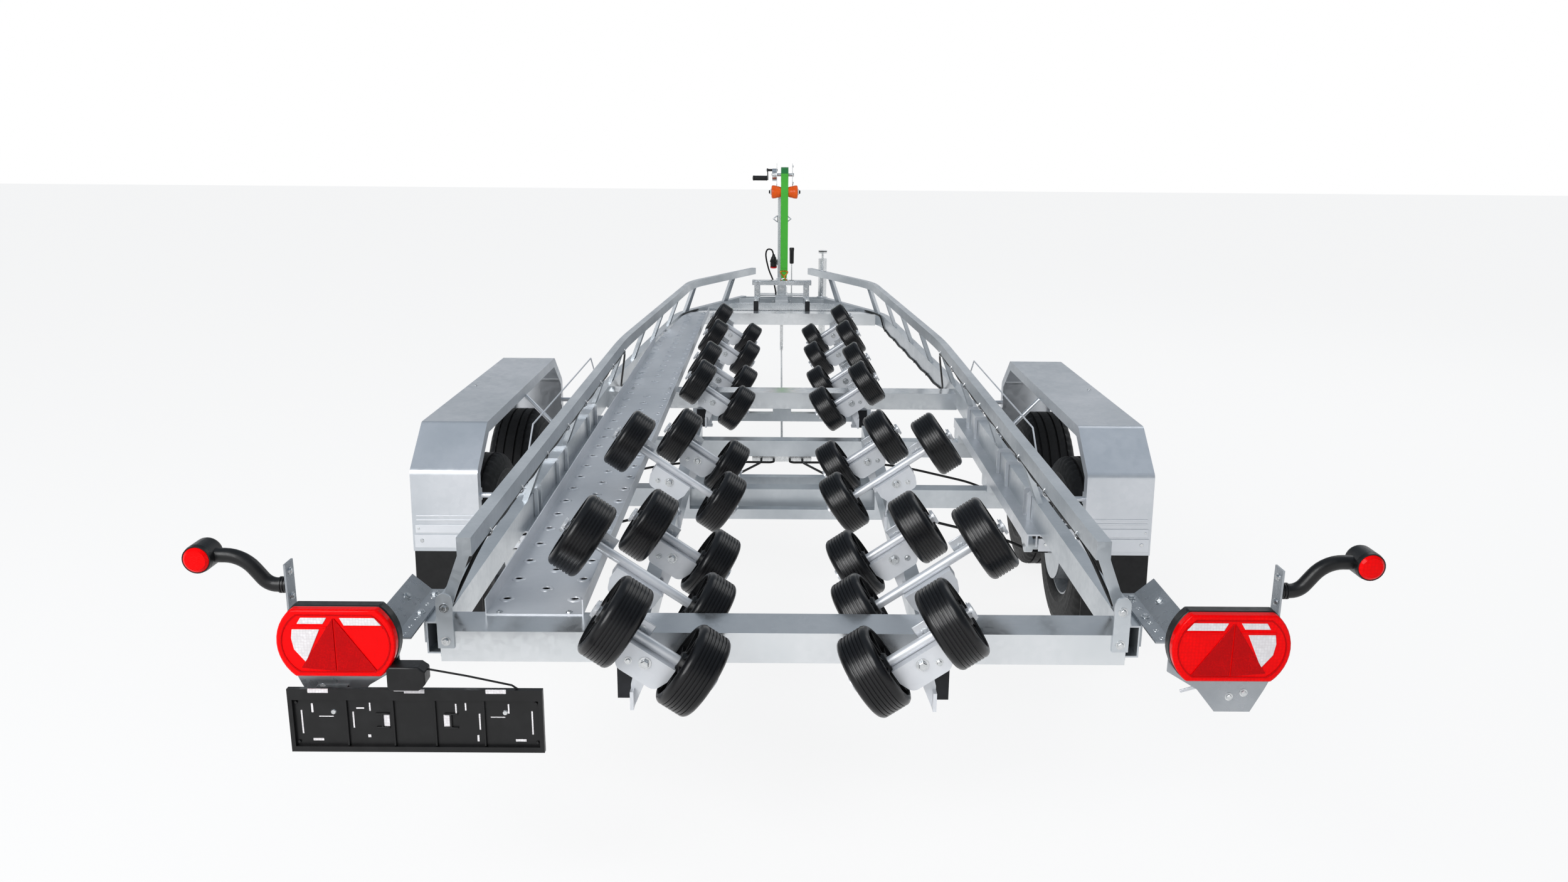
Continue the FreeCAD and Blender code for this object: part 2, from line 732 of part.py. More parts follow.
def mudguard():
    foot = -FLAP_LAP
    outer = filleted(prism_x(guard_outline(0, 0), GUARD_X0, GUARD_X1), GUARD_FOLD_R, is_fold)
    hollow = filleted(prism_x(guard_outline(GUARD_T, foot), GUARD_X0 + GUARD_T, GUARD_X1 - GUARD_T),
                      GUARD_FOLD_R - GUARD_T, is_fold)
    window = prism_x(guard_outline(GUARD_LIP, foot), GUARD_X0 - LAP, GUARD_X0 + GUARD_T + LAP)
    wheel_window = prism_x(guard_outline(GUARD_LIP, foot), GUARD_X1 - GUARD_T - LAP, GUARD_X1 + LAP)
    shell = outer.cut(hollow).cut(window).cut(wheel_window)
    mid_y = (WHEEL_Y["rear"] + WHEEL_Y["front"]) / 2
    end_in = GUARD_RUN + GUARD_LEAN - 2 * STAY_TAB
    low = CHORD_Z + CHORD_H / 2
    stays = [rod(vec(CHORD_OUT - STAY_R, mid_y, low), vec(GUARD_X0 + LAP, mid_y, GUARD_TOP - GUARD_LIP),
                 STAY_R)]
    for y in (GUARD_FLAT_Y0 - end_in, GUARD_FLAT_Y1 + end_in):
        stays.append(rod(vec(CHORD_OUT, y, low), vec(GUARD_X0 + LAP, y, low), STAY_R))
        stays.append(block(GUARD_X0, GUARD_X0 + GUARD_T, y - STAY_TAB, y + STAY_TAB, low - STAY_TAB,
                           low + STAY_TAB))
    outside_chord = block(CHORD_OUT, GUARD_X1, RAIL_Y0, 0, 0, TALL)
    return fuse([shell] + stays).common(outside_chord)


guard_right = mudguard()
add("mudguard_right", guard_right)
add("mudguard_left", mirrored(guard_right))


def flap(sign, end_y):
    """Rubber flap inside the guard's end wall, leaning as the wall does."""
    lean = GUARD_LEAN / (GUARD_SHOULDER_Z - GUARD_FOOT_Z)
    face = GUARD_T + RUN_CLEAR
    low = end_y + sign * lean * (GUARD_FOOT_Z - FLAP_FOOT_Z) - sign * face
    high = end_y - sign * lean * FLAP_LAP - sign * face
    top = GUARD_FOOT_Z + FLAP_LAP
    return prism_x([(low, FLAP_FOOT_Z), (high, top), (high - sign * FLAP_T, top),
                    (low - sign * FLAP_T, FLAP_FOOT_Z)],
                   GUARD_X0 + GUARD_T + RUN_CLEAR, GUARD_X1 - GUARD_T - RUN_CLEAR)


rear_flap = flap(-1, GUARD_FLAT_Y0 - GUARD_RUN - GUARD_LEAN)
front_flap = flap(1, GUARD_FLAT_Y1 + GUARD_RUN + GUARD_LEAN)
add("mud_flaps", *(both_sides(rear_flap) + both_sides(front_flap)))


# Walkway of perforated planks on the left

def plank(y0, y1):
    """Channel with upturned edges and three staggered rows of round holes."""
    outer = block(WALK_X0, WALK_X1, y0, y1, BEAM_TOP, BEAM_TOP + WALK_FLANGE)
    inner = block(WALK_X0 + WALK_T, WALK_X1 - WALK_T, y0, y1, BEAM_TOP + WALK_T, BEAM_TOP + WALK_FLANGE)
    holes = []
    for row, x in enumerate(HOLE_ROWS):
        y = y0 + HOLE_START + (HOLE_PITCH / 2 if row == 1 else 0)
        while y < y1 - HOLE_START / 2:
            holes.append(Part.makeCylinder(HOLE_R, 2 * WALK_T, vec(x, y, BEAM_TOP - WALK_T / 2)))
            y += HOLE_PITCH
    return outer.cut(inner).cut(Part.makeCompound(holes))


walk_rear = BEAM_REAR_Y + BEAM_D / 2 - WALK_LAP
walk_front = BEAM_FRONT_Y - BEAM_D / 2 + WALK_LAP
walk_space = between_frames(WALK_CUT_GAP)
add("walkway", plank(walk_rear, BEAM_MID_Y - WALK_GAP / 2),
    plank(BEAM_MID_Y + WALK_GAP / 2, walk_front).common(walk_space))


# Roller cradles: beams, saddles and roller pairs

CRADLE_IN = CRADLE_X - CRADLE_W / 2
CRADLE_OUT = CRADLE_X + CRADLE_W / 2
CRADLE_FOOT = BEAM_Z - CRADLE_H


def cradle_beam(ends):
    return block(CRADLE_IN, CRADLE_OUT, ends[0] + CAP_T, ends[1], CRADLE_FOOT, BEAM_Z)


def beam_cap(ends):
    return block(CRADLE_IN, CRADLE_OUT, ends[0], ends[0] + CAP_T, CRADLE_FOOT, BEAM_Z)


def cross_bar(half, y, depth, z0, z1):
    return block(-half, half, y - depth / 2, y + depth / 2, z0, z1)


tie = cross_bar(TIE_HALF, TIE_Y, TIE_D, CRADLE_FOOT - TIE_H, CRADLE_FOOT)
low_tie = cross_bar(TIE_HALF, LOW_TIE_Y, TIE_D, LOW_TIE_Z, LOW_TIE_Z + LOW_TIE_H)
tie_hanger = block(CRADLE_IN, CRADLE_OUT, LOW_TIE_Y - TIE_D / 2, LOW_TIE_Y + TIE_D / 2, LOW_TIE_Z,
                   CRADLE_FOOT)
add("cradle_beams_rear",
    fuse(both_sides(cradle_beam(CRADLE_REAR)) + both_sides(tie_hanger) + [tie, low_tie]))
hanger = cross_bar(HANGER_HALF, BEAM_MID_Y, HANGER_D, *HANGER_Z)
hanger_bracket = cross_bar(HANGER_BRACKET, BEAM_MID_Y, HANGER_D, HANGER_Z[1], BEAM_Z)
add("cradle_beams_front", fuse(both_sides(cradle_beam(CRADLE_FRONT)) + [hanger, hanger_bracket]))
add("beam_caps", *(both_sides(beam_cap(CRADLE_REAR)) + both_sides(beam_cap(CRADLE_FRONT))))

TILT = radians(ROLLER_TILT)


def along_axle(row_y, d, lift=0.0):
    """Point at distance d out from the inner roller's centre, and lift square to the spindle."""
    return vec(ROLLER_INNER_X + d * cos(TILT) - lift * sin(TILT), row_y,
               ROLLER_INNER_Z + d * sin(TILT) + lift * cos(TILT))


def tilted(shape, row_y, d):
    """Stands a piece that was modelled along X about the origin on the spindle line."""
    shape = shape.copy()
    shape.rotate(vec(0, 0, 0), vec(0, 1, 0), -ROLLER_TILT)
    shape.translate(along_axle(row_y, d))
    return shape


def roller(row_y, d):
    """Rubber roller with rounded shoulders and recessed faces around its hub."""
    h = ROLLER_W / 2
    web = h - ROLLER_RECESS
    bore = SPINDLE_R + RUN_CLEAR
    well = ROLLER_R - ROLLER_RIM
    s = ROLLER_SHOULDER
    right = [(h, bore), (h, ROLLER_HUB_R), (web, ROLLER_HUB_R), (web, well - s / 2), (h, well),
             (h, ROLLER_R - s), (h - s * 0.3, ROLLER_R - s * 0.3), (h - s, ROLLER_R)]
    left = [(-x, r) for x, r in reversed(right)]
    return tilted(turned_x(right + left, vec(0, 0, 0)), row_y, d)


def saddle_plate():
    """Folded saddle about the spindle's middle, tapered to its rounded foot and open below."""
    top = LAP - SPINDLE_R
    low = top - SADDLE_H
    half = SADDLE_TOP_L / 2
    foot = SADDLE_FOOT_L / 2
    outline = [(-half, top), (half, top), (half, (top + low) / 2), (foot, low), (-foot, low),
               (-half, (top + low) / 2)]
    solid = prism_y(outline, -SADDLE_W / 2, SADDLE_W / 2)
    solid = filleted(solid, SADDLE_CORNER, lambda p: p.z < low + LAP and abs(abs(p.x) - foot) < LAP)
    inside = block(-half - LAP, half + LAP, -SADDLE_W / 2 + SADDLE_T, SADDLE_W / 2 - SADDLE_T, low - LAP,
                   top - SADDLE_T)
    return solid.cut(inside)


def saddle(row_y, span, beam_end):
    """Saddle with its spindle, end clips, pivot bolt, small tab and the bracket down to the cradle beam."""
    reach = span / 2 + ROLLER_W / 2 + RUN_CLEAR
    drop = SADDLE_H / 2
    spindle = rod(vec(-reach - CLIP_T, 0, 0), vec(reach + CLIP_T, 0, 0), SPINDLE_R)
    clips = [rod(vec(x, 0, 0), vec(x + CLIP_T, 0, 0), CLIP_R) for x in (-reach - CLIP_T, reach)]
    pivot_half = SADDLE_W / 2 + PIVOT_OUT
    pivot = rod(vec(0, -pivot_half, -drop), vec(0, pivot_half, -drop), PIVOT_R)
    group = tilted(fuse([saddle_plate(), spindle, pivot] + clips), row_y, span / 2)
    centre = along_axle(row_y, span / 2, -drop)
    side_top = BEAM_Z - BRACKET_T
    side_foot = CRADLE_FOOT + BRACKET_FOOT
    inner = CRADLE_IN - BRACKET_T
    ear = prism_y([(inner, side_foot), (CRADLE_IN, side_foot), (CRADLE_IN, BEAM_Z),
                   (centre.x + BRACKET_HALF, centre.z), (centre.x - BRACKET_HALF, centre.z)],
                  row_y - BRACKET_T / 2, row_y + BRACKET_T / 2)
    front = max(row_y + BRACKET_FOOT, beam_end + BRACKET_GRIP)
    side = block(inner, CRADLE_IN, row_y - BRACKET_FOOT, front, side_foot, side_top)
    return fuse([group, ear, side])


for group_name, rows, ends in (("rear", REAR_ROWS, CRADLE_REAR), ("front", FRONT_ROWS, CRADLE_FRONT)):
    saddles = []
    for i, (row_y, span) in enumerate(rows):
        saddles += both_sides(saddle(row_y, span, ends[0]))
        pair = [roller(row_y, 0), roller(row_y, span)]
        for side, name in ((1, "right"), (-1, "left")):
            add("rollers_" + group_name + "_" + str(i + 1) + "_" + name, *[on_side(r, side) for r in pair])
    add("roller_saddles_" + group_name, *saddles)


# Winch stand and post

STAND_TOP = STAND_BAR_Z + STAND_BAR_H
BOW_BACK_Y = POST_Y - POST_W / 2
BOW_HALF = BOW_W / 2 + BOW_ARM_T

stand_bar = block(STAND_BAR_X - STAND_BAR_W / 2, STAND_BAR_X + STAND_BAR_W / 2, *STAND_BAR_Y, STAND_BAR_Z,
                  STAND_TOP)
stand_space = between_frames(0)
cross_z = (CHORD_Z + STAND_CROSS_RAISE, STAND_BAR_Z)
stand_crosses = [block(-CHORD_X, CHORD_X, y, y + STAND_CROSS_D, *cross_z).common(stand_space)
                 for y in STAND_CROSS_Y]
riser = block(*RISER_X, *RISER_Y, STAND_TOP, STEP_Z[0])
steps = [block(-STEP_HALF, STEP_HALF, y, y + STEP_D, *STEP_Z) for y in (RISER_Y[0], RISER_Y[1] - STEP_D)]
stem = block(-POST_W / 2, POST_W / 2, POST_Y - POST_W / 2, POST_Y + POST_W / 2, STAND_TOP, POST_TOP)
foot_half, foot_depth, foot_t = POST_FOOT
post_foot = block(-foot_half, foot_half, POST_Y - foot_depth, POST_Y + foot_depth, STAND_TOP,
                  STAND_TOP + foot_t)
knee = block(-KNEE_HALF, KNEE_HALF, RISER_Y[1] - STEP_D, POST_Y, *STEP_Z)
stand = fuse(both_sides(stand_bar) + both_sides(riser) + stand_crosses + steps + [stem, post_foot, knee])


def bow_bracket():
    """Two arms from the post to the bow roller's pin."""
    z0 = BOW_Z - BOW_ARM_H / 2
    z1 = BOW_Z + BOW_ARM_H / 2
    pieces = [block(STRAP_X - BOW_HALF, STRAP_X + BOW_HALF, BOW_BACK_Y - BOW_ARM_T, BOW_BACK_Y, z0, z1)]
    for side in (1, -1):
        x = STRAP_X + side * (BOW_W / 2 + RUN_CLEAR)
        pieces.append(block(x, STRAP_X + side * BOW_HALF, BOW_Y - 2 * BOW_PIN_R, BOW_BACK_Y, z0, z1))
    pieces.append(rod(vec(STRAP_X - BOW_HALF, BOW_Y, BOW_Z), vec(STRAP_X + BOW_HALF, BOW_Y, BOW_Z),
                      BOW_PIN_R))
    return fuse(pieces)


add("winch_post", stand, bow_bracket())


# Winch, with its wound strap, crank and gear cover

def winch_frame():
    """Two side plates on a base with the drum's core; the crank's shaft runs free in its plate."""
    rear = DRUM_Y - PLATE_REACH
    front = DRUM_Y + PLATE_REACH
    top = DRUM_Z + PLATE_REACH
    side = [(BOW_BACK_Y - BASE_T, POST_TOP), (front, POST_TOP), (front, top), (rear, top),
            (rear, BOW_Z + BOW_R_END + BOW_CLEAR)]
    plates = [prism_x(side, x, x + PLATE_T) for x in (PLATE_X0, PLATE_X1 - PLATE_T)]
    base = block(PLATE_X0, PLATE_X1, BOW_BACK_Y - BASE_T, POST_Y + PLATE_REACH, POST_TOP, POST_TOP + BASE_T)
    core = rod(vec(PLATE_X0, DRUM_Y, DRUM_Z), vec(PLATE_X1 + 2 * BASE_T, DRUM_Y, DRUM_Z), DRUM_CORE_R)
    hole = rod(vec(PLATE_X0 - LAP, CRANK_Y, CRANK_Z), vec(PLATE_X0 + PLATE_T + LAP, CRANK_Y, CRANK_Z),
               CRANK_R + RUN_CLEAR)
    return fuse(plates + [base, core]).cut(hole)


def winch_crank():
    """Shaft through the plate, flat arm and round grip."""
    x = PLATE_X0 - CRANK_OUT
    end_y = CRANK_Y + CRANK_REACH
    end_z = CRANK_Z - CRANK_DROP
    shaft = rod(vec(x - CRANK_R, CRANK_Y, CRANK_Z), vec(PLATE_X0 + 2 * PLATE_T, CRANK_Y, CRANK_Z), CRANK_R)
    arm = prism_x([(CRANK_Y - 1.5 * CRANK_R, CRANK_Z + 1.5 * CRANK_R),
                   (CRANK_Y - 1.5 * CRANK_R, CRANK_Z - 1.5 * CRANK_R),
                   (end_y + 1.5 * CRANK_R, end_z - GRIP_R), (end_y + 1.5 * CRANK_R, end_z + CRANK_R)],
                  x - CRANK_R, x)
    grip = rod(vec(x - CRANK_R, end_y, end_z), vec(x - CRANK_R - GRIP_L, end_y, end_z), GRIP_R)
    return fuse([shaft, arm, grip])


cover = rod(vec(PLATE_X0 - GEAR_D, DRUM_Y, DRUM_Z), vec(PLATE_X0, DRUM_Y, DRUM_Z), GEAR_R)
add("winch_frame", winch_frame(), cover)
add("winch_drum",
    pipe(vec(STRAP_X - STRAP_W / 2, DRUM_Y, DRUM_Z), vec(STRAP_X + STRAP_W / 2, DRUM_Y, DRUM_Z),
         WOUND_R, WOUND_R - DRUM_CORE_R - RUN_CLEAR))
add("winch_crank", winch_crank())

strap_y = BOW_Y - BOW_R_MID - STRAP_T - STRAP_GAP
strap_top_y = DRUM_Y - WOUND_R - STRAP_T - RUN_CLEAR
strap_route = [(strap_top_y, DRUM_Z + STRAP_GAP), (strap_top_y, DRUM_Z), (strap_y, BOW_Z),
               (strap_y, STRAP_FOOT_Z)]
strap = prism_x(strap_route + [(y + STRAP_T, z) for y, z in reversed(strap_route)],
                STRAP_X - STRAP_W / 2, STRAP_X + STRAP_W / 2)
hook_head = block(STRAP_X - HOOK_W / 2, STRAP_X + HOOK_W / 2, strap_y, strap_y + HOOK_T,
                  STRAP_FOOT_Z - HOOK_H, STRAP_FOOT_Z)
hook_shank = block(STRAP_X - HOOK_T / 2, STRAP_X + HOOK_T / 2, strap_y, strap_y + HOOK_T,
                   STRAP_FOOT_Z - 1.5 * HOOK_H, STRAP_FOOT_Z - HOOK_H)
add("winch_strap", strap, fuse([hook_head, hook_shank]))


def bow_roller():
    """Cast roller with a V-shaped waist."""
    h = BOW_W / 2
    bore = BOW_PIN_R + RUN_CLEAR
    left = [(-h, bore), (-h, BOW_R_END), (-BOW_CHEEK, BOW_R_END - 2 * LAP), (-BOW_WAIST, BOW_R_MID)]
    right = [(-x, r) for x, r in reversed(left)]
    return turned_x(left + right, vec(STRAP_X, BOW_Y, BOW_Z))


add("bow_roller", bow_roller())


# Coupling with its overrun housing, bellows and ball head

HOUSING_FOOT = COUPLING_Z - HOUSING_W / 2
HOUSING_TOP = COUPLING_Z + HOUSING_W / 2
BELLOWS_END = HOUSING_Y[1] + BELLOWS_L
BALL_Y = NOSE_Y - BALL_BACK

box = block(-HOUSING_W / 2, HOUSING_W / 2, *HOUSING_Y, HOUSING_FOOT, HOUSING_TOP)
plate_z = (CHORD_Z + FRONT_PLATE_IN, CHORD_TOP - FRONT_PLATE_IN)
front_plates = [block(-CHORD_X, CHORD_X, y, y + FRONT_PLATE_T, *plate_z).common(stand_space)
                for y in FRONT_PLATE_Y]
add("coupling_housing", fuse([box.cut(fuse(stand_crosses))] + front_plates))


def bellows():
    """Rubber gaiter as a body of revolution with even folds."""
    low, high = BELLOWS_R
    y0 = HOUSING_Y[1]
    step = BELLOWS_L / BELLOWS_FOLDS
    points = [(y0, 0), (y0, low)]
    for i in range(BELLOWS_FOLDS):
        points += [(y0 + (i + 0.5) * step, high), (y0 + (i + 1) * step, low)]
    points.append((BELLOWS_END, 0))
    face = closed_face([vec(0, y, COUPLING_Z + r) for y, r in points])
    return face.revolve(vec(0, 0, COUPLING_Z), vec(0, 1, 0), 360)


def coupling_head():
    """Shank, round head with its ball socket open below, and the handle on top."""
    half = HEAD_H / 2
    shank = rod(vec(0, BELLOWS_END, COUPLING_Z), vec(0, BALL_Y - HEAD_R / 2, COUPLING_Z), SHANK_R)
    head = Part.makeCylinder(HEAD_R, HEAD_H, vec(0, BALL_Y, COUPLING_Z - half))
    neck = block(-SHANK_R - 2 * LAP, SHANK_R + 2 * LAP, BELLOWS_END + HEAD_R, BALL_Y, COUPLING_Z - SHANK_R,
                 COUPLING_Z + half)
    lever = prism_x([(BALL_Y + LEVER_HALF, COUPLING_Z + half), (BALL_Y - LEVER_HALF, COUPLING_Z + half),
                     (BALL_Y - LEVER_REACH, COUPLING_Z + LEVER_RISE),
                     (BALL_Y - LEVER_REACH, COUPLING_Z + 1.2 * LEVER_RISE),
                     (BALL_Y, COUPLING_Z + HEAD_H)], -LEVER_HALF, LEVER_HALF)
    socket = Part.makeCylinder(BALL_R, SOCKET_H + LAP, vec(0, BALL_Y, COUPLING_Z - half - LAP))
    return fuse([shank, head, neck, lever]).cut(socket)


def hand_brake():
    """Flat lever on the housing's side, on a pivot and a toothed plate, with a round grip."""
    x0 = BRAKE_X - BRAKE_T / 2
    x1 = BRAKE_X + BRAKE_T / 2
    grip_z = BRAKE_TOP_Z - GRIP_L * 0.85
    blade = prism_x([(BRAKE_Y - BRAKE_HALF, HOUSING_TOP), (BRAKE_Y + BRAKE_HALF, HOUSING_TOP),
                     (BRAKE_Y + BRAKE_T, grip_z + BRAKE_HALF), (BRAKE_Y - BRAKE_T, grip_z + BRAKE_HALF)],
                    x0, x1)
    pivot = rod(vec(HOUSING_W / 2, BRAKE_Y, COUPLING_Z + BRAKE_HALF),
                vec(x1, BRAKE_Y, COUPLING_Z + BRAKE_HALF), GRIP_R)
    plate = block(x0 - BRAKE_T / 2, x1 + BRAKE_T / 2, BRAKE_Y - BRAKE_HALF, BRAKE_Y + BRAKE_HALF,
                  COUPLING_Z - LAP, HOUSING_TOP + 2 * LAP)
    grip = rod(vec(BRAKE_X, BRAKE_Y, grip_z), vec(BRAKE_X, BRAKE_Y, BRAKE_TOP_Z), GRIP_R - LAP)
    return fuse([blade, pivot, plate, grip])


add("coupling_bellows", bellows())
add("coupling_head", coupling_head())
add("hand_brake", hand_brake())


# Jockey wheel on the right of the drawbar

FORK_TOP = 2 * JOCKEY_WHEEL_R + JOCKEY_CLEAR
FORK_Y = JOCKEY_Y - JOCKEY_TRAIL
LEG_FOOT = FORK_TOP + 2 * CHEEK_T + 2 * LAP


def on_jockey(z0, z1, r):
    """Upright round bar on the jockey wheel's axis."""
    return rod(vec(JOCKEY_X, JOCKEY_Y, z0), vec(JOCKEY_X, JOCKEY_Y, z1), r)


def jockey_tube():
    """Outer tube with its head cap, screw and knob."""
    foot, top = JOCKEY_TUBE_Z
    tube = pipe(vec(JOCKEY_X, JOCKEY_Y, foot), vec(JOCKEY_X, JOCKEY_Y, top), JOCKEY_TUBE_R,
                JOCKEY_TUBE_R - JOCKEY_LEG_R - RUN_CLEAR)
    cap = on_jockey(top, top + KNOB_H, JOCKEY_TUBE_R)
    screw = on_jockey(top + KNOB_H, JOCKEY_TOP_Z, JOCKEY_PIN_R)
    knob = on_jockey(JOCKEY_TOP_Z, JOCKEY_TOP_Z + KNOB_H, JOCKEY_TUBE_R)
    return fuse([tube, cap, screw, knob])


def jockey_clamp():
    """Ring round the tube on an arm from the housing."""
    arm = block(HOUSING_W / 2, JOCKEY_X, JOCKEY_Y - CLAMP_HALF, JOCKEY_Y + CLAMP_HALF,
                COUPLING_Z - CLAMP_HALF, COUPLING_Z + CLAMP_HALF)
    ring = on_jockey(COUPLING_Z - CLAMP_HALF - CHEEK_GAP, COUPLING_Z + CLAMP_HALF + CHEEK_GAP,
                     JOCKEY_TUBE_R + CHEEK_GAP)
    return fuse([arm, ring]).cut(on_jockey(0, TALL, JOCKEY_TUBE_R))


def jockey_fork():
    """Two cheeks under a bridge, trailing behind the swivel, with the wheel's pin."""
    half = JOCKEY_WHEEL_W / 2 + CHEEK_GAP
    pieces = []
    for side in (1, -1):
        x = JOCKEY_X + side * half
        pieces.append(prism_x([(FORK_Y - FORK_EYE, JOCKEY_WHEEL_R - FORK_EYE),
                               (FORK_Y + FORK_EYE, JOCKEY_WHEEL_R - FORK_EYE),
                               (JOCKEY_Y + JOCKEY_TUBE_R, FORK_TOP), (JOCKEY_Y - JOCKEY_CLEAR, FORK_TOP)],
                              x - CHEEK_T / 2, x + CHEEK_T / 2))
    width = half + CHEEK_T / 2
    pieces.append(block(JOCKEY_X - width, JOCKEY_X + width, JOCKEY_Y - JOCKEY_CLEAR,
                        JOCKEY_Y + JOCKEY_TUBE_R, FORK_TOP, FORK_TOP + CHEEK_T))
    pieces.append(on_jockey(FORK_TOP + CHEEK_T, LEG_FOOT - RUN_CLEAR, JOCKEY_TUBE_R))
    pieces.append(rod(vec(JOCKEY_X - width - CHEEK_T, FORK_Y, JOCKEY_WHEEL_R),
                      vec(JOCKEY_X + width + CHEEK_T, FORK_Y, JOCKEY_WHEEL_R), JOCKEY_PIN_R))
    return fuse(pieces)


def jockey_wheel():
    h = JOCKEY_WHEEL_W / 2
    bore = JOCKEY_PIN_R + RUN_CLEAR
    edge = 2 * CHEEK_T
    left = [(-h, bore), (-h, JOCKEY_WHEEL_R - edge), (-h + edge, JOCKEY_WHEEL_R)]
    right = [(-x, r) for x, r in reversed(left)]
    return turned_x(left + right, vec(JOCKEY_X, FORK_Y, JOCKEY_WHEEL_R))


add("jockey_tube", jockey_clamp(), jockey_tube())
add("jockey_leg", on_jockey(LEG_FOOT, JOCKEY_LEG_TOP, JOCKEY_LEG_R))
add("jockey_fork", jockey_fork())
add("jockey_wheel", jockey_wheel())


# Rear lamps with their arms, marker arms and the plate holder

LAMP_FRONT = LAMP_Y + LAMP_D
ARM_IN = CHORD_OUT + RUN_CLEAR


def lamp():
    """Box lamp with rounded ends."""
    half = LAMP_W / 2
    r = LAMP_H / 2
    flat = half - LAMP_BULGE

    def at(x, z):
        return vec(LAMP_X + x, LAMP_Y, LAMP_Z + z)

    edges = [Part.LineSegment(at(-flat, -r), at(flat, -r)), Part.Arc(at(flat, -r), at(half, 0), at(flat, r)),
             Part.LineSegment(at(flat, r), at(-flat, r)),
             Part.Arc(at(-flat, r), at(-half, 0), at(-flat, -r))]
    return Part.Face(Part.Wire([e.toShape() for e in edges])).extrude(vec(0, LAMP_D, 0))


def lamp_bracket():
    """Flange on the chord, strip, raised arm back to the lamp's plate, and the marker arm's upright."""
    t = LAMP_ARM_T
    z0, z1 = LAMP_FLANGE_Z
    bend_x = ARM_IN + LAMP_ARM_SIDE
    flange = block(ARM_IN, ARM_IN + t, FRAME_REAR_Y, LAMP_ARM_FRONT, z0, z1)
    strip = block(ARM_IN, bend_x, LAMP_STRIP_END, LAMP_ARM_FRONT, z1 - t, z1)
    out_x = bend_x + LAMP_ARM_SIDE
    raised_z = z1 + LAMP_ARM_RISE
    raised = prism_y([(bend_x - t, z1 - t), (bend_x, z1 - t), (out_x, raised_z - t), (out_x, raised_z),
                      (bend_x - t, z1)], LAMP_FRONT + t, LAMP_ARM_FRONT)
    left, right = LAMP_X - BACK_W[0], LAMP_X + BACK_W[1]
    low = LAMP_Z - LAMP_H / 2
    (wide_0, wide_1), (narrow_0, narrow_1) = BACK_FOOT_X
    wide_z, narrow_z = BACK_FOOT_Z
    back = prism_y([(left, LAMP_Z + BACK_UP), (right, LAMP_Z + BACK_UP), (right, low), (wide_1, wide_z),
                    (narrow_1, narrow_z), (narrow_0, narrow_z), (wide_0, wide_z), (left, low)],
                   LAMP_FRONT, LAMP_FRONT + t)
    upright = block(UPRIGHT_X, UPRIGHT_X + UPRIGHT_T, LAMP_FRONT, LAMP_FRONT + UPRIGHT_D,
                    LAMP_Z - BACK_UP, UPRIGHT_TOP)
    return fuse([flange, strip, raised, back, upright])


def marker_arm():
    """Curved rubber arm from the upright to the round marker body."""
    y = LAMP_FRONT + UPRIGHT_D / 2
    start = UPRIGHT_X + UPRIGHT_T + RUN_CLEAR
    arm = bent_bar([(start, y, MARKER_ARM_Z), (start + UPRIGHT_D, y, MARKER_ARM_Z),
                    (MARKER_X - 2 * UPRIGHT_D, y, MARKER_Z), (MARKER_X, y, MARKER_Z)], MARKER_ARM_R)
    body = rod(vec(MARKER_X, y - MARKER_BODY / 2, MARKER_Z), vec(MARKER_X, y + MARKER_BODY / 2, MARKER_Z),
               MARKER_R)
    return fuse([arm, body])


def marker_lens():
    y = LAMP_FRONT + UPRIGHT_D / 2 - MARKER_BODY / 2
    return rod(vec(MARKER_X, y - MARKER_D, MARKER_Z), vec(MARKER_X, y, MARKER_Z), MARKER_R)


def side_marker():
    """Amber lamp on the chord's outer side."""
    deep, long, high = SIDE_MARKER
    z = CHORD_Z + CHORD_H / 2
    shape = block(CHORD_OUT, CHORD_OUT + deep, FRAME_REAR_Y - long / 2, FRAME_REAR_Y + long / 2,
                  z - high / 2, z + high / 2)
    return along(shape, SIDE_MARKER_Y - FRAME_REAR_Y)


def plate_holder():
    """Shallow tray for the number plate, with a block to the left lamp's plate."""
    x0, x1, z0, z1 = PLATE_HOLDER
    y0 = LAMP_Y + HOLDER_BACK
    y1 = y0 + HOLDER_T
    left, right, top, bottom = HOLDER_RIM
    tray = block(x0, x1, y0, y1, z0, z1)
    recess = block(x0 + left, x1 - right, y0 - LAP, y1 - HOLDER_SKIN, z0 + bottom, z1 - top)
    narrow_0, narrow_1 = BACK_FOOT_X[1]
    mount = block(-narrow_1 + CHEEK_T, -narrow_0 - CHEEK_T, y1 - LAP, LAMP_FRONT, BACK_FOOT_Z[1],
                  z1 - CHEEK_T)
    return fuse([tray.cut(recess), mount])


add("lamp_brackets", *both_sides(lamp_bracket()))
add("rear_lamps", *(both_sides(lamp()) + both_sides(marker_lens())))
add("marker_lamps", *(both_sides(marker_arm()) + both_sides(side_marker())))
add("plate_holder", plate_holder())


# Brake rod and cables

ROD_Z = AXLE_TOP_Z - AXLE_W - ROD_DROP


def brake_linkage():
    """Rod from the coupling to an equaliser bar on the front axle, hung from the front crossbeam."""
    low = ROD_Z - EQUALISER_D / 2
    y0 = AXLE_Y[1]
    y1 = HOUSING_Y[0] + 2 * EQUALISER_D
    half = EQUALISER_D / 2
    pull = rod(vec(0, y0, ROD_Z), vec(0, y1, ROD_Z), ROD_R)
    equaliser = block(-EQUALISER_HALF, EQUALISER_HALF, y0 - half, y0 + half, low, AXLE_TOP_Z - AXLE_W)
    drop = block(-half, half, y1 - half, y1 + half, low, HOUSING_FOOT)
    support = block(-half, half, BEAM_FRONT_Y - half, BEAM_FRONT_Y + half, low, BEAM_Z)
    return fuse([pull, equaliser, drop, support])


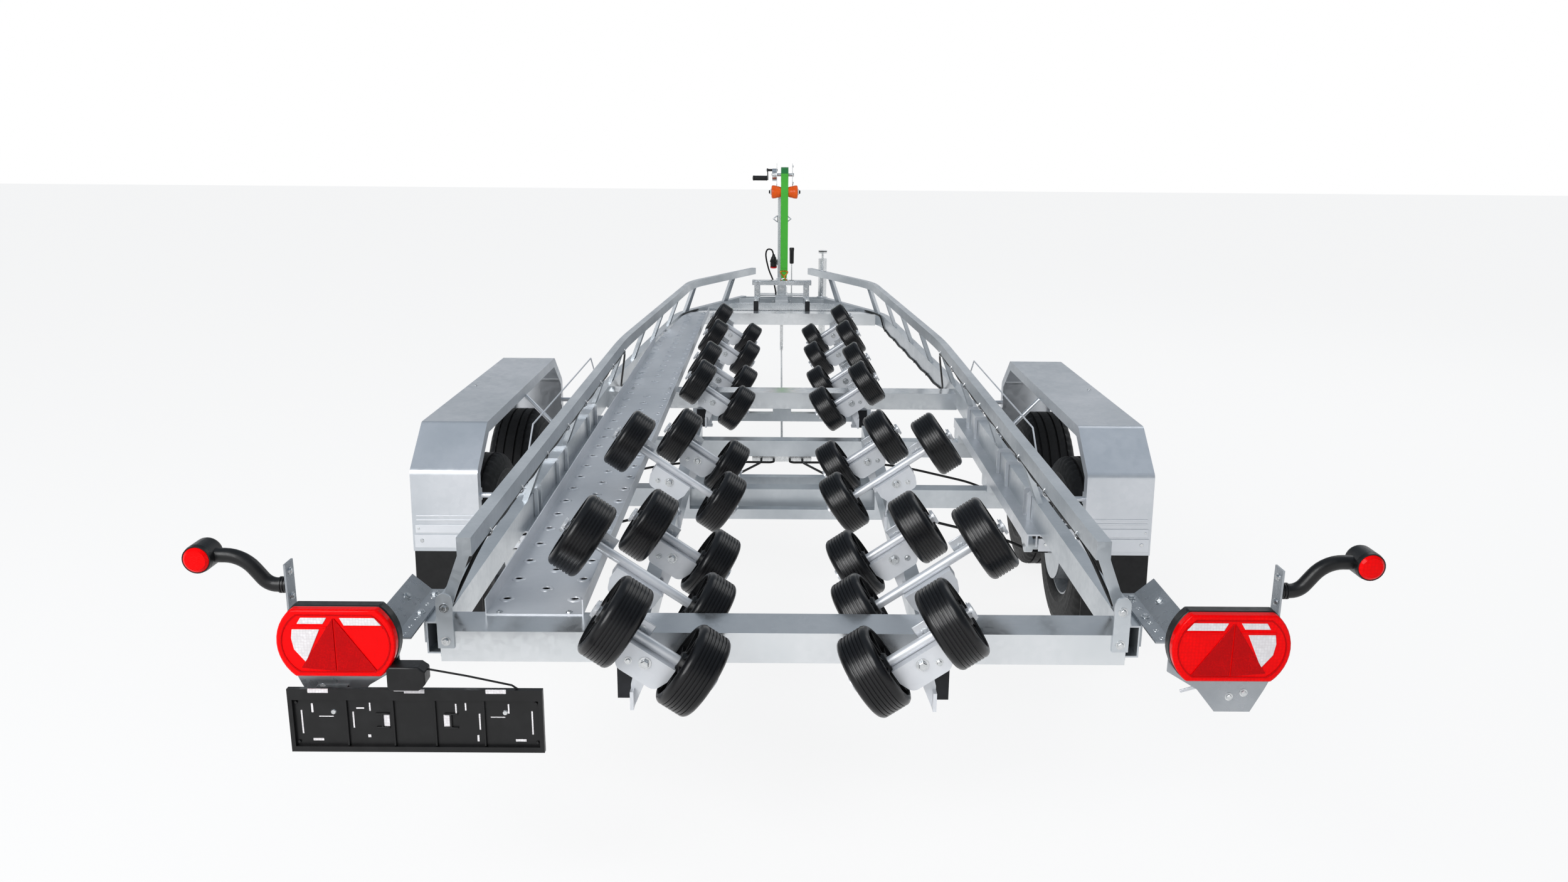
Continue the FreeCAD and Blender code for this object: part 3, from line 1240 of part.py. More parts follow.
def brake_cable(wheel_y, hook_x):
    """Sheathed cable from the equaliser under the axles to a wheel's backplate."""
    start_y = AXLE_Y[1] - EQUALISER_D / 2 - RUN_CLEAR
    end_x = BACKPLATE_X - BACKPLATE_T - RUN_CLEAR
    turn_x, turn_y = CABLE_TURN
    rise_x, rise_y = CABLE_RISE
    entry_l, entry_y, entry_drop = CABLE_ENTRY
    entry_z = TYRE_R - entry_drop
    route = [(hook_x, start_y, ROD_Z), (hook_x, start_y - CABLE_START_L, ROD_Z),
             (turn_x, wheel_y + turn_y, ROD_Z), (ARM_X0 - rise_x, wheel_y + rise_y, TYRE_R),
             (end_x - entry_l, wheel_y + entry_y, entry_z), (end_x, wheel_y + entry_y, entry_z)]
    return bent_bar(route, CABLE_R)


def beside_chord(inward, s, z):
    """Point on the inside of the lower chord, at the distance s along the side frame."""
    return along(Part.Vertex(CHORD_IN - inward, FRAME_REAR_Y, z), s).Point


def lamp_lead():
    """Lead in shallow waves from clip to clip, then down a strut and over the front crossbeam."""
    close = LEAD_R + RUN_CLEAR
    tucked = CHORD_IN - UPPER_X + UPPER_W / 2 - LEAD_IN
    under = UPPER_Z - LEAD_R - RUN_CLEAR
    foot = CHORD_Z + LEAD_R
    over = BEAM_TOP + LEAD_R + RUN_CLEAR
    start_s, start_z = LEAD_START
    over_s0, over_s1 = LEAD_OVER_BEAM
    route = [(-LEAD_IN, start_s, start_z), (tucked, start_s, under)]
    for clips, inward, z in ((LEAD_HIGH_CLIPS, tucked, under), (LEAD_LOW_CLIPS, close, foot)):
        if z == foot:
            route.append((close, LEAD_DOWN_S, foot))
        for i in clips:
            s = LEAD_CLIP_S + i * LEAD_PITCH
            ends = [(inward, s - LEAD_FLAT, z), (inward, s + LEAD_FLAT, z)]
            route += ends[1:] if i in (LEAD_HIGH_CLIPS[0], LEAD_LOW_CLIPS[0]) else ends
            if i not in (LEAD_HIGH_CLIPS[-1], LEAD_LOW_CLIPS[-1]):
                route.append((inward, s + LEAD_PITCH / 2, z - LEAD_SAG))
    step = (over_s1 - over_s0) / LEAD_STEPS
    route += [(close, over_s0 + i * step, over) for i in range(LEAD_STEPS + 1)]
    return bent_bar([beside_chord(*place) for place in route], LEAD_R)


add("brake_linkage", brake_linkage())
cables = [brake_cable(WHEEL_Y["rear"], CABLE_HOOKS[0]), brake_cable(WHEEL_Y["front"], CABLE_HOOKS[1])]
add("cables", *[side for cable in cables + [lamp_lead()] for side in both_sides(cable)])


def export_all():
    os.makedirs("parts", exist_ok=True)
    for name, shape in NODES.items():
        shape.exportStep("parts/" + name + ".step")
        print(name, len(shape.Solids), round(shape.Volume / 1e6, 3))


export_all()
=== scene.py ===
import json
import logging
import math
from dataclasses import dataclass
from enum import Enum
from typing import Iterable, Sequence

import bmesh
import bpy
from mathutils import Matrix, Vector

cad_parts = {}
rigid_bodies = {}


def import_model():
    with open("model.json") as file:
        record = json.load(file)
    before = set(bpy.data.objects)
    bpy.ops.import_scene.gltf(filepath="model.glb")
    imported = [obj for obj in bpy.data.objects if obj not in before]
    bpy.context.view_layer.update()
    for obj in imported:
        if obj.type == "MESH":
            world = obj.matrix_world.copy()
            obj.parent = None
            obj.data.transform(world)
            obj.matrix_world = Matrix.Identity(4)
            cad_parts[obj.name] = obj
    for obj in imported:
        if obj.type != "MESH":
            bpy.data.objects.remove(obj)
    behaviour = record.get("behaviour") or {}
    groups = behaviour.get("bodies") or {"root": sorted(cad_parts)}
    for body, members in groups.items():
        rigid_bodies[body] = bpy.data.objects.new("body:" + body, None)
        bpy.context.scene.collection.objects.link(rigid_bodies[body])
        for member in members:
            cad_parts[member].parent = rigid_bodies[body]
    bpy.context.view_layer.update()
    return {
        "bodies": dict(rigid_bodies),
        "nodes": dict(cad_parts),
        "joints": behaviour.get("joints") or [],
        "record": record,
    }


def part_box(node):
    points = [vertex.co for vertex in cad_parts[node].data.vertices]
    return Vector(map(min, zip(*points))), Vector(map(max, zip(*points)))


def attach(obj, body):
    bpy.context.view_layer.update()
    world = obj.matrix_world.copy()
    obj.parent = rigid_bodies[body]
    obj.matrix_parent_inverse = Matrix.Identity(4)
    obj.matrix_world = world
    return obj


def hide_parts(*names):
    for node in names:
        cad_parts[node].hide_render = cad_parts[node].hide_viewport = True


logging.basicConfig(level=logging.INFO, format="%(message)s")
LOG = logging.getLogger("boat_trailer")

IMAGE_W = 2500
IMAGE_H = 1406
FOCAL_PX = 1900.0
VANISH_U = 1241.0
VANISH_V = 226.0
CAMERA_ROLL_DEG = 0.46
CAMERA_AT = (-0.015, -5.85, 1.75)
SENSOR_MM = 36.0

Point = Sequence[float]
Tree = bpy.types.NodeTree
Socket = bpy.types.NodeSocket
Material = bpy.types.Material
ROOT = "root"
REARWARD = Matrix(((1, 0, 0, 0), (0, 0, -1, 0), (0, 1, 0, 0), (0, 0, 0, 1)))  # lays XY outlines in XZ


# Shader helpers

def linear(hex_colour: str, alpha: float = 1.0) -> tuple[float, float, float, float]:
    """Turns an sRGB hex colour into linear values.

    Args:
        hex_colour: Six hex digits.
        alpha: Opacity to append.

    Returns:
        Linear red, green, blue and alpha.
    """
    values = [int(hex_colour[i:i + 2], 16) / 255 for i in (0, 2, 4)]
    done = [v / 12.92 if v <= 0.04045 else ((v + 0.055) / 1.055) ** 2.4 for v in values]
    return (done[0], done[1], done[2], alpha)


def add_node(tree: Tree, kind: str, settings: dict | None = None,
             links: dict | None = None) -> bpy.types.Node:
    """Adds one shader node with its settings and incoming links.

    Args:
        tree: The node tree to add to.
        kind: Blender's node type name.
        settings: Attribute names, or input names or indices, and their values.
        links: Input names or indices and the output sockets that feed them.

    Returns:
        The new node.
    """
    node = tree.nodes.new(kind)
    for name, value in (settings or {}).items():
        if isinstance(name, int) or not hasattr(node, name):
            node.inputs[name].default_value = value
        else:
            setattr(node, name, value)
    for name, socket in (links or {}).items():
        tree.links.new(socket, node.inputs[name])
    return node


def blank_material(name: str) -> tuple[Material, Tree, Socket]:
    """Makes an empty node material.

    Args:
        name: The material's name.

    Returns:
        The material, its tree and the object coordinates that its patterns use.
    """
    material = bpy.data.materials.new(name)
    material.use_nodes = True
    tree = material.node_tree
    tree.nodes.clear()
    place = add_node(tree, "ShaderNodeTexCoord")
    return material, tree, place.outputs["Object"]


def noise(tree: Tree, at: Socket, size_mm: float, detail: float = 2.0) -> Socket:
    """Adds a noise pattern.

    Args:
        tree: The node tree to add to.
        at: Coordinates in metres.
        size_mm: Real size of one patch.
        detail: Octaves of finer noise.

    Returns:
        The pattern's value output.
    """
    settings = {"Scale": 1000.0 / size_mm, "Detail": detail}
    return add_node(tree, "ShaderNodeTexNoise", settings, {"Vector": at}).outputs["Fac"]


def mixed(tree: Tree, factor: Socket, one: str | Socket, two: str | Socket) -> Socket:
    """Mixes two colours.

    Args:
        tree: The node tree to add to.
        factor: Share of the second colour.
        one: First colour, as hex digits or a socket.
        two: Second colour, as hex digits or a socket.

    Returns:
        The mixed colour's output.
    """
    mix = add_node(tree, "ShaderNodeMix", {"data_type": "RGBA"}, {0: factor})
    for index, colour in ((6, one), (7, two)):
        if isinstance(colour, str):
            mix.inputs[index].default_value = linear(colour)
        else:
            tree.links.new(colour, mix.inputs[index])
    return mix.outputs[2]


def spread(tree: Tree, value: Socket, low: float, high: float,
           from_low: float = 0.3, from_high: float = 0.7) -> Socket:
    """Maps a pattern's value to a range.

    Args:
        tree: The node tree to add to.
        value: The pattern's value.
        low: Result at from_low.
        high: Result at from_high.
        from_low: Lower end of the incoming range.
        from_high: Upper end of the incoming range.

    Returns:
        The mapped output.
    """
    settings = {"From Min": from_low, "From Max": from_high, "To Min": low, "To Max": high}
    return add_node(tree, "ShaderNodeMapRange", settings, {"Value": value}).outputs["Result"]


def surface(tree: Tree, settings: dict, links: dict, height: Socket | None = None,
            strength: float = 0.1, depth_mm: float = 1.0) -> None:
    """Adds the surface shader, its bump and the output.

    Args:
        tree: The node tree to add to.
        settings: Uniform values on the shader's own sockets.
        links: Sockets that patterns feed.
        height: Pattern for the bump, if there is one.
        strength: Strength of the bump.
        depth_mm: Real depth of the bump.
    """
    if height is not None:
        bump = add_node(tree, "ShaderNodeBump", {"Strength": strength, "Distance": depth_mm / 1000},
                        {"Height": height})
        links = {**links, "Normal": bump.outputs["Normal"]}
    shader = add_node(tree, "ShaderNodeBsdfPrincipled", settings, links)
    add_node(tree, "ShaderNodeOutputMaterial", None, {"Surface": shader.outputs["BSDF"]})


# Finishes

@dataclass(frozen=True)
class Galvanised:
    """Zinc coating from a hot bath: pale crystals over cloudy patches, a little uneven in gloss."""

    name: str
    light: str
    dark: str
    metallic: float = 0.7
    roughness: float = 0.32
    spangle_mm: float = 12.0
    cloud_mm: float = 260.0

    def build(self) -> Material:
        """Builds the material and returns it."""
        material, tree, at = blank_material(self.name)
        wobble = add_node(tree, "ShaderNodeTexNoise", {"Scale": 1000.0 / 40.0, "Detail": 1.0}, {"Vector": at})
        warped = add_node(tree, "ShaderNodeMix", {"data_type": "VECTOR", 0: 0.02},
                          {4: at, 5: wobble.outputs["Color"]})
        cell = add_node(tree, "ShaderNodeTexVoronoi", {"Scale": 1000.0 / self.spangle_mm},
                        {"Vector": warped.outputs[1]})
        grey = add_node(tree, "ShaderNodeSeparateColor", None, {0: cell.outputs["Color"]})
        cloud = noise(tree, at, self.cloud_mm, 4.0)
        base = mixed(tree, spread(tree, cloud, 0.0, 1.0), self.light, self.dark)
        shade = mixed(tree, spread(tree, grey.outputs[0], 0.0, 0.22, 0.0, 1.0), base, self.dark)
        rough = spread(tree, grey.outputs[1], self.roughness - 0.04, self.roughness + 0.05, 0.0, 1.0)
        surface(tree, {"Metallic": self.metallic}, {"Base Color": shade, "Roughness": rough},
                noise(tree, at, 70.0, 1.0), 0.06, 0.3)
        return material


@dataclass(frozen=True)
class Moulded:
    """Rubber or plastic from a mould: fine grain, faint dust and slightly uneven gloss."""

    name: str
    base: str
    dust: str
    roughness: float
    grain_mm: float
    bump: float = 0.15
    coat: float = 0.0

    def build(self) -> Material:
        """Builds the material and returns it."""
        material, tree, at = blank_material(self.name)
        dust = spread(tree, noise(tree, at, 35.0, 4.0), 0.0, 0.8, 0.45, 0.75)
        rough = spread(tree, noise(tree, at, 12.0, 3.0), self.roughness - 0.06, self.roughness + 0.08)
        surface(tree, {"Coat Weight": self.coat, "Coat Roughness": 0.08, "Specular IOR Level": 0.3},
                {"Base Color": mixed(tree, dust, self.base, self.dust), "Roughness": rough},
                noise(tree, at, self.grain_mm, 2.0), self.bump, 0.3)
        return material


@dataclass(frozen=True)
class Plated:
    """Zinc or brass plate, or bright paint, on steel: smooth with fine rub marks."""

    name: str
    base: str
    rub: str
    metallic: float = 1.0
    roughness: float = 0.25

    def build(self) -> Material:
        """Builds the material and returns it."""
        material, tree, at = blank_material(self.name)
        rub = spread(tree, noise(tree, at, 9.0, 4.0), 0.0, 1.0)
        rough = spread(tree, noise(tree, at, 4.0, 3.0), self.roughness - 0.06, self.roughness + 0.1)
        colour = mixed(tree, rub, self.base, self.rub)
        surface(tree, {"Metallic": self.metallic}, {"Base Color": colour, "Roughness": rough},
                noise(tree, at, 1.5), 0.05, 0.2)
        return material


@dataclass(frozen=True)
class Lens:
    """Clear or tinted moulded lens with the small prisms of a reflector behind its gloss."""

    name: str
    base: str
    deep: str
    prism_mm: float
    coat: float = 0.04

    def build(self) -> Material:
        """Builds the material and returns it."""
        material, tree, at = blank_material(self.name)
        prism = add_node(tree, "ShaderNodeTexVoronoi", {"Scale": 1000.0 / self.prism_mm, "Randomness": 0.35},
                         {"Vector": at})
        shade = spread(tree, prism.outputs["Distance"], 0.0, 1.0, 0.1, 0.75)
        blotch = spread(tree, noise(tree, at, 30.0, 2.0), 0.0, 0.6)
        colour = mixed(tree, blotch, mixed(tree, shade, self.base, self.deep), self.deep)
        gloss = {"Roughness": 0.16, "Coat Weight": self.coat, "Coat Roughness": 0.03,
                 "Specular IOR Level": 0.06}
        surface(tree, gloss, {"Base Color": colour}, prism.outputs["Distance"], 0.12, 0.6)
        return material


@dataclass(frozen=True)
class Webbing:
    """Polyester webbing with a visible diagonal weave."""

    name: str
    warp: str
    weft: str
    thread_mm: float = 2.4

    def build(self) -> Material:
        """Builds the material and returns it."""
        material, tree, at = blank_material(self.name)
        waves = []
        for turn in (math.radians(45), math.radians(-45)):
            turned = add_node(tree, "ShaderNodeMapping", {"Rotation": (0.0, turn, 0.0)}, {"Vector": at})
            bands = {"Scale": 1000.0 / self.thread_mm / 6.3, "bands_direction": "X"}
            wave = add_node(tree, "ShaderNodeTexWave", bands, {"Vector": turned.outputs[0]})
            waves.append(wave.outputs["Fac"])
        crossed = dict(enumerate(waves))
        weave = add_node(tree, "ShaderNodeMath", {"operation": "MULTIPLY"}, crossed).outputs[0]
        colour = mixed(tree, spread(tree, weave, 0.0, 1.0, 0.1, 0.8), self.weft, self.warp)
        surface(tree, {"Roughness": 0.7, "Sheen Weight": 0.3}, {"Base Color": colour}, weave, 0.5, 0.6)
        return material


class Look(Enum):
    """Every finish on the trailer, named for its material and how it was made."""

    FRAME = Galvanised("galvanised_steel_dipped_frame", "d6dadd", "b4babf")
    SHEET = Galvanised("galvanised_steel_dipped_sheet", "d6d8dc", "bcc1c6", 0.65, 0.32, 16.0, 320.0)
    PLANK = Galvanised("galvanised_steel_pressed_plank", "e2e3e6", "cfd2d6", 0.45, 0.42, 16.0, 420.0)
    BEAM = Galvanised("galvanised_steel_rolled_beam", "e6e8ea", "d2d6d9", 0.85, 0.22, 14.0, 320.0)
    TUBE = Galvanised("galvanised_steel_dipped_tube", "dcdfe2", "c0c5c9", 0.8, 0.24, 9.0, 120.0)
    ARM = Galvanised("galvanised_steel_rolled_dark", "acb0b4", "94999e", 0.75, 0.30, 10.0, 140.0)
    ZINC = Plated("steel_zinc_plated_bright", "dfe1e2", "c2c5c7")
    BRASS = Plated("brass_cast_hook", "d79a3c", "a8702a", 1.0, 0.3)
    RIM = Plated("steel_painted_silver", "b4b7ba", "a0a4a8", 0.6, 0.36)
    ROLLER = Moulded("rubber_moulded_roller", "0b0b0d", "131315", 0.32, 2.0, 0.04, 0.10)
    HUB = Moulded("nylon_moulded_hub", "050506", "0a0a0b", 0.42, 1.2, 0.05)
    TYRE = Moulded("rubber_cured_tyre", "0b0b0c", "131314", 0.6, 2.5, 0.12)
    FLAP = Moulded("rubber_pressed_flap", "0f0f10", "19191a", 0.55, 3.0, 0.15)
    PLASTIC = Moulded("polypropylene_moulded_black", "0d0d0e", "171718", 0.4, 1.5, 0.1, 0.1)
    CAP = Moulded("polyethylene_moulded_cap", "1b1c20", "25262a", 0.5, 1.8, 0.2)
    CABLE = Moulded("vinyl_extruded_sheath", "0a0a0b", "141415", 0.45, 1.0, 0.05)
    ORANGE = Moulded("polyurethane_cast_orange", "ff6408", "f25405", 0.34, 2.0, 0.03, 0.1)
    SOCKET_RED = Moulded("polyamide_moulded_red", "d11a20", "a8141a", 0.35, 1.5, 0.08, 0.2)
    WEB = Webbing("polyester_woven_green", "62d84a", "3cb52c")
    # Darker copy of the strap's webbing for the strap wound on the drum: painted shade.
    WEB_SHADED = Webbing("polyester_woven_green_painted_shade", "1f9a45", "0c7a34")
    RED = Lens("acrylic_moulded_red", "fb0306", "e20407", 7.0)
    RED_DEEP = Lens("acrylic_moulded_reflector_red", "dc0306", "a80307", 3.2)
    CLEAR = Lens("acrylic_moulded_clear", "f6f4f4", "d2cccc", 6.0)


class MaterialStore:
    """Builds each finish once and hands it out."""

    def __init__(self) -> None:
        """Starts with no materials built."""
        self.made: dict[Look, Material] = {}

    def get(self, look: Look) -> Material:
        """Returns the material for a finish, building it the first time."""
        if look not in self.made:
            self.made[look] = look.value.build()
        return self.made[look]


STORE = MaterialStore()

NODE_LOOKS: dict[str, Look] = {
    "axles": Look.FRAME, "axle_rails": Look.SHEET, "crossbeams": Look.BEAM, "side_frame": Look.FRAME,
    "cradle_beams": Look.FRAME, "roller_saddles": Look.PLANK, "mudguard": Look.SHEET, "walkway": Look.PLANK,
    "mud_flaps": Look.FLAP, "beam_caps": Look.CAP, "rollers": Look.ROLLER, "tyre": Look.TYRE, "rim": Look.RIM,
    # The drum takes the darker webbing, which is painted shade on the wound strap.
    "winch_post": Look.TUBE, "winch_frame": Look.ZINC, "winch_drum": Look.WEB_SHADED, "winch_strap": Look.WEB,
    "winch_crank": Look.PLASTIC, "bow_roller": Look.ORANGE, "coupling_housing": Look.FRAME,
    "coupling_bellows": Look.PLASTIC, "coupling_head": Look.ZINC, "hand_brake": Look.ZINC,
    "jockey_tube": Look.ZINC, "jockey_leg": Look.ZINC, "jockey_fork": Look.ZINC, "jockey_wheel": Look.TYRE,
    "rear_lamps": Look.RED, "lamp_brackets": Look.ARM, "marker_lamps": Look.PLASTIC,
    "plate_holder": Look.PLASTIC, "brake_linkage": Look.ZINC, "cables": Look.CABLE,
}


def dress_frame(nodes: dict[str, bpy.types.Object]) -> None:
    """Gives every CAD node the finish whose key its name starts with.

    Args:
        nodes: The frame's CAD objects by name.
    """
    for name, obj in nodes.items():
        key = max((k for k in NODE_LOOKS if name.startswith(k)), key=len)
        look = NODE_LOOKS[key]
        obj.data.materials.clear()
        obj.data.materials.append(STORE.get(look))
        LOG.info("dressed %s as %s", name, look.value.name)


# Mesh helpers

def stand(at: Point, along: Point, side: Point = (0.0, 0.0, 1.0)) -> Matrix:
    """Makes a local frame.

    Args:
        at: Its origin.
        along: Direction of its Z axis.
        side: Direction that its X axis comes near to.

    Returns:
        The frame's matrix.
    """
    z = Vector(along).normalized()
    x = Vector(side) - z * Vector(side).dot(z)
    x = z.orthogonal() if x.length < 1e-6 else x
    x.normalize()
    return Matrix.Translation(Vector(at)) @ Matrix((x, z.cross(x), z)).transposed().to_4x4()


class Solid:
    """Collects closed forms in one mesh and hands them over as a piece that rides on a body."""

    def __init__(self, name: str, look: Look, body: str = ROOT) -> None:
        """Starts an empty piece.

        Args:
            name: The piece's name.
            look: Its finish.
            body: The CAD body that it rides on.
        """
        self.name = name
        self.look = look
        self.body = body
        self.mesh = bmesh.new()

    def prism(self, outline: Iterable[Point], z0: float, z1: float,
              frame: Matrix = Matrix.Identity(4)) -> None:
        """Adds a prism over an outline in the local XY plane."""
        outline = list(outline)
        low = [self.mesh.verts.new(frame @ Vector((x, y, z0))) for x, y in outline]
        high = [self.mesh.verts.new(frame @ Vector((x, y, z1))) for x, y in outline]
        self.mesh.faces.new(low[::-1])
        self.mesh.faces.new(high)
        for i in range(len(outline)):
            j = (i + 1) % len(outline)
            self.mesh.faces.new((low[i], low[j], high[j], high[i]))

    def box(self, lo: Point, hi: Point, frame: Matrix = Matrix.Identity(4)) -> None:
        """Adds a box between two local corners."""
        outline = [(lo[0], lo[1]), (hi[0], lo[1]), (hi[0], hi[1]), (lo[0], hi[1])]
        self.prism(outline, lo[2], hi[2], frame)

    def lathe(self, profile: Sequence[Point], frame: Matrix, sides: int = 32,
              dips: dict[int, float] | None = None, dip_every: int = 5) -> None:
        """Adds a turned form.

        Args:
            profile: (z, radius) points about the local Z axis; a radius of 0 makes a pole, and a profile
                with no pole closes on itself as a ring.
            frame: Where it stands.
            sides: Number of steps round.
            dips: Depth that the radius loses at some points of the profile, by index.
            dip_every: Every so many steps the dips apply.
        """
        rings = []
        for index, (z, r) in enumerate(profile):
            if r < 1e-7:
                rings.append([self.mesh.verts.new(frame @ Vector((0, 0, z)))] * sides)
                continue
            ring = []
            for k in range(sides):
                a = 2 * math.pi * k / sides
                radius = r - ((dips or {}).get(index, 0.0) if k % dip_every == 0 else 0.0)
                place = Vector((radius * math.cos(a), radius * math.sin(a), z))
                ring.append(self.mesh.verts.new(frame @ place))
            rings.append(ring)
        ringed = profile[0][1] > 1e-7 and profile[-1][1] > 1e-7
        pairs = list(zip(rings, rings[1:])) + ([(rings[-1], rings[0])] if ringed else [])
        for one, two in pairs:
            for k in range(sides):
                j = (k + 1) % sides
                corners = list(dict.fromkeys((one[k], one[j], two[j], two[k])))
                self.mesh.faces.new(corners)

    def rod(self, p: Point, q: Point, radius: float, sides: int = 16, edge: float = 0.0) -> None:
        """Adds a round bar from p to q with softened ends."""
        length = (Vector(q) - Vector(p)).length
        e = edge or min(radius, length) * 0.15
        profile = [(0, 0), (0, radius - e), (e, radius), (length - e, radius), (length, radius - e),
                   (length, 0)]
        self.lathe(profile, stand(p, Vector(q) - Vector(p)), sides)

    def tube(self, path: Sequence[Point], radius: float, sides: int = 10) -> None:
        """Adds a round cable or bar along a path."""
        points = [Vector(p) for p in path]
        side = None
        rings = []
        for i, p in enumerate(points):
            along = (points[min(i + 1, len(points) - 1)] - points[max(i - 1, 0)]).normalized()
            side = along.orthogonal() if side is None else side - along * side.dot(along)
            side.normalize()
            other = along.cross(side)
            ring = []
            for k in range(sides):
                a = 2 * math.pi * k / sides
                ring.append(self.mesh.verts.new(p + (side * math.cos(a) + other * math.sin(a)) * radius))
            rings.append(ring)
        for one, two in zip(rings, rings[1:]):
            for k in range(sides):
                self.mesh.faces.new((one[k], one[(k + 1) % sides], two[(k + 1) % sides], two[k]))
        self.mesh.faces.new(rings[0][::-1])
        self.mesh.faces.new(rings[-1])

    def hex(self, at: Point, along: Point, across: float, height: float) -> None:
        """Adds a hexagon head or nut with a chamfered top on a washer."""
        frame = stand(at, along)
        r = across / math.sqrt(3)
        washer = height * 0.2
        self.lathe([(0, 0), (0, across * 0.85), (washer, across * 0.85), (washer, 0)], frame, 20)
        self.lathe([(washer, 0), (washer, r), (height * 0.88, r), (height, r * 0.86), (height, 0)], frame, 6)

    def piece(self, bevel: float = 0.0, smooth_deg: float = 35.0, replaces: Iterable[str] = ()) -> None:
        """Finishes the piece and lets it ride on its body.

        Args:
            bevel: Width of softened edges in metres.
            smooth_deg: Edges flatter than this are shaded smooth.
            replaces: CAD nodes that the piece stands for.
        """
        bmesh.ops.recalc_face_normals(self.mesh, faces=self.mesh.faces)
        data = bpy.data.meshes.new(self.name)
        self.mesh.to_mesh(data)
        self.mesh.free()
        data.polygons.foreach_set("use_smooth", [True] * len(data.polygons))
        data.set_sharp_from_angle(angle=math.radians(smooth_deg))
        data.materials.append(STORE.get(self.look))
        obj = bpy.data.objects.new(self.name, data)
        bpy.context.scene.collection.objects.link(obj)
        if bevel:
            modifier = obj.modifiers.new("edges", "BEVEL")
            modifier.width = bevel
            modifier.segments = 2
            modifier.limit_method = "ANGLE"
            modifier.angle_limit = math.radians(40)
        if replaces:
            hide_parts(*replaces)
        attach(obj, self.body)
        LOG.info("piece %s: %d faces, rides on %s", self.name, len(data.polygons), self.body)


def smooth_path(points: Sequence[Point], steps: int = 8) -> list[Vector]:
    """Runs a smooth curve through points.

    Args:
        points: The points, in order.
        steps: Number of short runs between two of them.

    Returns:
        Points of a Catmull-Rom curve.
    """
    p = [Vector(q) for q in points]
    p = [p[0] * 2 - p[1]] + p + [p[-1] * 2 - p[-2]]
    done = []
    for a, b, c, d in zip(p, p[1:], p[2:], p[3:]):
        for k in range(steps):
            t = k / steps
            done.append(0.5 * ((2 * b) + (c - a) * t + (2 * a - 5 * b + 4 * c - d) * t ** 2
                               + (3 * b - a - 3 * c + d) * t ** 3))
    done.append(p[-2])
    return done


def ring(count: int, radius: float, start: float = 0.0) -> list[tuple[float, float]]:
    """Evenly spaced places on a circle.

    Args:
        count: How many.
        radius: The circle's radius.
        start: Angle of the first in degrees.

    Returns:
        (x, y) places.
    """
    angles = [math.radians(start) + 2 * math.pi * k / count for k in range(count)]
    return [(radius * math.cos(a), radius * math.sin(a)) for a in angles]


# Sub-assemblies

@dataclass
class RollerRow:
    """Where one pair of rollers turns, read from the frame's joint."""

    node: str
    body: str
    centre: Vector
    axis: Vector
    span: float

    @property
    def lift(self) -> Vector:
        """Direction square to the spindle, upward."""
        return Vector((-self.axis.x * self.axis.z / abs(self.axis.x), 0, abs(self.axis.x))).normalized()

    def at(self, d: float, lift: float = 0.0, y: float = 0.0) -> Vector:
        """Point at distance d outward from the spindle's middle, lifted square to it and moved along Y."""
        return self.centre + self.axis * d + self.lift * lift + Vector((0, y, 0))


def roller_rows(joints: list[dict]) -> list[RollerRow]:
    """Reads the roller rows from the record.

    Args:
        joints: The record's joints.

    Returns:
        One entry for each pair.
    """
    rows = []
    for joint in joints:
        if not joint["name"].startswith("spin_rollers"):
            continue
        node = joint["name"][len("spin_"):]
        axis = Vector(joint["axis"])
        lo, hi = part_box(node)
        reach = (hi.x - lo.x - 2 * Rollers.radius * abs(axis.z) - Rollers.width * abs(axis.x)) / abs(axis.x)
        rows.append(RollerRow(node, joint["child"], Vector(joint["pos_m"]), axis, reach))
    return rows


